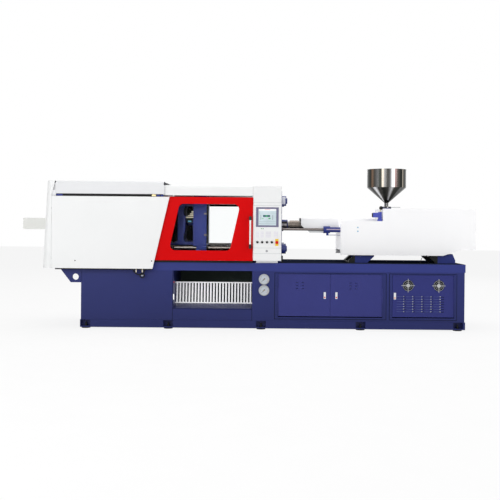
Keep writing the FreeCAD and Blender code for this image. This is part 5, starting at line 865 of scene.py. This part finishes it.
# %% Gap above the side cover
brackets = [block((-2.340, -0.6365, 1.633), (-2.266, -0.608, 1.657)),
            block((-1.057, -0.6365, 1.634), (-1.026, -0.608, 1.657)),
            block((-1.106, -0.6365, 1.634), (-1.069, -0.608, 1.657))]
piece("hood_brackets", brackets, blue_paint, "frame")
piece("hood_latch", [block((-1.1676, -0.6365, 1.634), (-1.118, -0.608, 1.657))], brass,
      "frame")
hood_lips = [block((-1.030, -0.6268, 1.657), (-1.0135, -0.6070, 1.775), corner=0.002),
             block((-2.420, -0.6180, 1.600), (-2.350, -0.6080, 1.795), corner=0.004),
             block((-2.394, -0.6370, 1.6325), (-2.350, -0.6060, 1.705), corner=0.004)]
piece("hood_lips", hood_lips, shaded_hood_white, "frame")
# The dark rubber strip in the gap is painted shade.
piece("hood_gap_shade", [block((-2.345, -0.6325, 1.6325), (-1.028, -0.6070, 1.6625), corner=0.002)],
      rubber, "frame")
print("hood strip ready")

# %% [markdown]
# ## Fittings on the moving platen
#
# Behind the window, the moving platen carries stepped connectors, a cable duct,
# a dark strip along its edge and two clamps with hexagon heads. They ride on the
# platen, so they travel with it when the mould opens.

# %% Fittings on the moving platen
CONNECTORS = ((-0.766, 1.376, 1.388), (-0.742, 1.398, 1.410), (-0.716, 1.418, 1.432), (-0.696, 1.442, 1.460))
connectors = [block((left, -0.400, low), (-0.674, -0.330, high)) for left, low, high in CONNECTORS]
piece("platen_connectors", connectors, cream_plastic, "moving_platen")
piece("connector_bracket", [block((-0.745, -0.372, 1.318), (-0.698, -0.345, 1.380), corner=0.002)],
      black_paint, "moving_platen")
piece("connector_label", [block((-0.7436, -0.374, 1.3236), (-0.6996, -0.371, 1.3395), corner=0.001)],
      blue_plastic, "moving_platen")
piece("platen_duct", [block((-0.804, -0.372, 1.183), (-0.780, -0.330, 1.405))], blue_paint,
      "moving_platen")
edge_strip = [block((-0.5090, -0.3625, 1.060), (-0.4830, -0.3300, 1.548)),
              block((-0.5090, -0.3720, 0.9960), (-0.4830, -0.3300, 1.020))]
piece("platen_edge_strip", edge_strip, black_paint, "moving_platen")
clamps = [block((-0.5390, -0.3740, low), (-0.5060, -0.3500, high))
          for low, high in ((1.420, 1.4385), (1.149, 1.174))]
clamps += [turned((-0.525, 0.0, z), "Y", [(-0.3800, 0.006), (-0.3600, 0.006)], 6) for z in (1.429, 1.161)]
piece("mould_clamps", clamps, dark_steel, "moving_platen")
print("platen fittings ready")

# %% [markdown]
# ## Barrel and nozzle
#
# Electric heater bands are clamped round the barrel to melt the plastic. Each is
# a short sleeve, so a profile turned about the barrel's own axis makes it.

# %% Heater bands
AXIS = (0.0, 0.0, NOZZLE_HEIGHT)
BAND_WIDTH, BARREL_RADIUS, BAND_RADIUS = 0.055, 0.0550, 0.0590
bands = [turned(AXIS, "X", [(x, BARREL_RADIUS), (x, BAND_RADIUS),
                            (x + BAND_WIDTH, BAND_RADIUS), (x + BAND_WIDTH, BARREL_RADIUS)], 48)
         for x in (0.560, 0.620)]
piece("heater_bands", bands, band_steel, "carriage")
nozzle_band = turned(AXIS, "X", [(0.534, 0.040), (0.534, 0.0455), (0.556, 0.0455), (0.556, 0.040)], 48)
piece("nozzle_band", [nozzle_band], dark_steel, "carriage")
print("heater bands:", len(bands) + 1)

# %% [markdown]
# ## The hopper's valve and the carriage's small parts
#
# A tray carries cables below the barrel, a valve with a ball knob stands beside
# the hopper's neck, and a pipe feeds the shift cylinder. The knob's profile is a
# half circle, which turning makes a ball.

# %% Cable tray and valve
tray = np.array([[0.812, 1.201], [0.991, 1.201], [0.991, 1.227], [0.786, 1.227]])
tray_rings = np.stack([np.column_stack([tray[:, 0], np.full(4, y), tray[:, 1]]) for y in (-0.190, -0.150)])
piece("cable_tray", [tube_surface(tray_rings), block((0.980, -0.185, 1.205), (1.000, -0.155, 1.224))],
      steel, "carriage", smooth=False)
KNOB_RADIUS, KNOB_POLE = 0.024, 0.05
half_circle = np.linspace(KNOB_POLE, math.pi - KNOB_POLE, 13)
ball = [(KNOB_RADIUS * math.cos(t), KNOB_RADIUS * math.sin(t)) for t in half_circle]
piece("valve_knob", [turned((1.7085, -0.280, 1.5228), "Z", ball, 24)], rubber, "carriage")
valve_stem = turned((1.700, -0.280, 0.0), "Z", [(1.468, 0.010), (1.490, 0.010), (1.492, 0.007),
                                                (1.515, 0.007)], 20)
piece("valve_stem", [valve_stem], cream_plastic, "carriage")
valve = [block((1.6735, -0.302, 1.374), (1.7165, -0.258, 1.472)),
         block((1.664, -0.308, 1.352), (1.7215, -0.252, 1.380)),
         block((1.606, -0.298, 1.4015), (1.676, -0.262, 1.462))]
piece("valve_body", valve, valve_paint, "carriage")
piece("valve_plug", [block((1.594, -0.296, 1.405), (1.608, -0.264, 1.458))], rubber,
      "carriage")
print("valve parts:", len(valve) + 3)

# %% Guard lips and shift pipe
# The lips lie within the end plate's faint glow.
guard_end_lips = [block((1.1955, low, 0.921), (1.2010, low + 0.055, 1.005)) for low in (-0.330, 0.275)]
piece("guard_end_lips", guard_end_lips, lit_white, "carriage")
shift_pipe = [block((1.020, -0.228, 1.166), (1.048, -0.198, 1.205)),
              turned((0.0, -0.213, 1.172), "X", [(1.045, 0.0035), (1.205, 0.0035)], 16)]
piece("shift_pipe", shift_pipe, blue_paint, "carriage")
print("carriage fittings ready")

# %% [markdown]
# ## Hoses
#
# Two rubber hoses show. One loops below the side cover and goes back up behind
# it; a thin one hangs beside the rear foot. A hose is a circle carried along a
# smooth path, and its length is that path's length.

# %% Hose helper
def hose(name, path, diameter, body):
    """A rubber hose along a path of close points: its length is the sum of the steps between them."""
    path = np.asarray(path, float)
    made = piece(name, [bar(path, diameter / 2)], rubber, body)
    line = smooth_path(path)
    length = float(np.sum(np.linalg.norm(np.diff(line, axis=0), axis=1)))
    return length


# %% Drain fittings under the side cover
stems = [turned((x, -0.631, 0.0), "Z", [(0.700, 0.0040), (0.700, 0.0065), (0.756, 0.0065)], 20)
         for x in (-1.354, -1.278)]
piece("hose_stems", stems, cream_plastic, "frame")
piece("hose_bracket", [block((-1.40, -0.639, 0.746), (-1.225, -0.600, 0.752))], steel,
      "frame")
wheel = [hoop((-1.2797, -0.6320, 0.660), "Y", 0.027, 0.0065),
         block((-1.3030, -0.6345, 0.657), (-1.2565, -0.6295, 0.663))]
piece("drain_wheel", wheel, rubber, "frame")
drain_stem = turned((-1.2797, 0.0, 0.660), "Y", [(-0.6385, 0.008), (-0.600, 0.008), (-0.598, 0.011),
                                                 (-0.5480, 0.011)], 24)
piece("drain_stem", [drain_stem], steel, "frame")
print("stems:", len(stems))

# %% The two hoses
LOOP_X, LOOP_Y, LOOP_RADIUS, LOOP_LEVEL, LOOP_TOP = -1.3163, -0.6215, 0.0703, 0.742, 0.760
half_turn = np.linspace(math.pi, 2 * math.pi, 19)
loop = [(LOOP_X - LOOP_RADIUS, LOOP_Y, LOOP_TOP)]
loop += [(LOOP_X + LOOP_RADIUS * math.cos(t), LOOP_Y, LOOP_LEVEL + LOOP_RADIUS * math.sin(t))
         for t in half_turn]
loop += [(LOOP_X + LOOP_RADIUS, LOOP_Y, LOOP_TOP)]
print("cover loop", round(hose("cover_hose", loop, 0.016, "frame"), 3), "m")
bend = [(2.335, -0.262, 0.900), (2.332, -0.300, 0.912), (2.300, -0.325, 0.924), (2.258, -0.325, 0.918),
        (2.225, -0.322, 0.890), (2.212, -0.320, 0.852), (2.210, -0.320, 0.823)]
print("foot hose", round(hose("foot_hose", bend, 0.007, "frame"), 3), "m")

# %% [markdown]
# ## Studio
#
# The machine stands on a pale floor in front of nothing. Five large soft lamps
# light it evenly from the front, both sides, above and behind. For the camera,
# and for mirrors and glass, the surroundings are plain white; the floor is part
# lit, so the machine's own soft shadow stays on it.

# %% What sees the surroundings
def seen_directly(tree):
    """One for rays from the camera, mirrors and glass, else zero: the largest of three marks."""
    rays = tree.nodes.new("ShaderNodeLightPath").outputs
    seen = rays["Is Camera Ray"]
    for other in ("Is Glossy Ray", "Is Transmission Ray"):
        larger = tree.nodes.new("ShaderNodeMath")
        larger.operation = "MAXIMUM"
        tree.links.new(seen, larger.inputs[0])
        tree.links.new(rays[other], larger.inputs[1])
        seen = larger.outputs[0]
    return seen


# %% World
AMBIENT = 0.46
scene = bpy.context.scene
scene.view_settings.view_transform = "Standard"
scene.world = bpy.data.worlds.new("studio")
scene.world.use_nodes = True
sky = scene.world.node_tree
strength = sky.nodes.new("ShaderNodeMapRange")
strength.inputs["To Min"].default_value = AMBIENT
strength.inputs["To Max"].default_value = 1.0
sky.links.new(seen_directly(sky), strength.inputs["Value"])
background = sky.nodes["Background"].inputs
sky.links.new(strength.outputs["Result"], background["Strength"])
background["Color"].default_value = (1.0, 1.0, 1.0, 1.0)
print("ambient light:", AMBIENT)

# %% Floor
HALF_FLOOR, FLOOR_GLOW = 30.0, 0.84
floor_mesh = bpy.data.meshes.new("floor")
floor_mesh.from_pydata([(x * HALF_FLOOR, y * HALF_FLOOR, 0) for x, y in ((-1, -1), (1, -1), (1, 1), (-1, 1))],
                       [], [(0, 1, 2, 3)])
floor = bpy.data.objects.new("floor", floor_mesh)
scene.collection.objects.link(floor)
floor_finish = Finish("pale floor", roughness=0.9)
speckle = floor_finish.noise(3.0)
floor_finish.set("Base Color", floor_finish.ramp(speckle, (0.3, grey(0.86)), (0.7, grey(0.90))))
glow = floor_finish.node("ShaderNodeEmission", Color=(1, 1, 1, 1), Strength=1.0)
share = floor_finish.maths("MULTIPLY", seen_directly(floor_finish.tree), FLOOR_GLOW)
blend = floor_finish.node("ShaderNodeMixShader", Fac=share)
floor_finish.tree.links.new(floor_finish.shader.outputs[0], blend.inputs[1])
floor_finish.tree.links.new(glow.outputs[0], blend.inputs[2])
floor_finish.tree.links.new(blend.outputs[0], floor_finish.tree.nodes["Material Output"].inputs["Surface"])
floor_mesh.materials.append(floor_finish.material)
print("floor glow:", FLOOR_GLOW)

# %% Lamps
def lamp(name, place, target, size, power):
    """A square soft lamp that faces a point."""
    data = bpy.data.lights.new(name, "AREA")
    data.shape = "SQUARE"
    data.size = size
    data.energy = power
    made = bpy.data.objects.new(name, data)
    made.location = place
    direction = np.asarray(target, float) - np.asarray(place, float)
    tilt = math.atan2(math.hypot(direction[0], direction[1]), -direction[2])
    made.rotation_euler = (tilt, 0.0, math.atan2(direction[1], direction[0]) - math.pi / 2)
    scene.collection.objects.link(made)


lamp("front lamp", (-2.0, -9.5, 4.2), (0, 0, 1.0), 5.0, 170)
lamp("side lamp", (7.0, -6.0, 4.0), (0.5, 0, 1.0), 4.0, 158)
lamp("left lamp", (-5.5, -7.0, 2.4), (1.0, 0, 1.0), 4.0, 128)
lamp("top lamp", (0.0, 1.0, 7.5), (0, 0, 1.0), 6.0, 220)
lamp("rear lamp", (2.0, 9.0, 5.0), (0, 0, 1.0), 5.0, 170)
print("lamps:", len(bpy.data.lights))
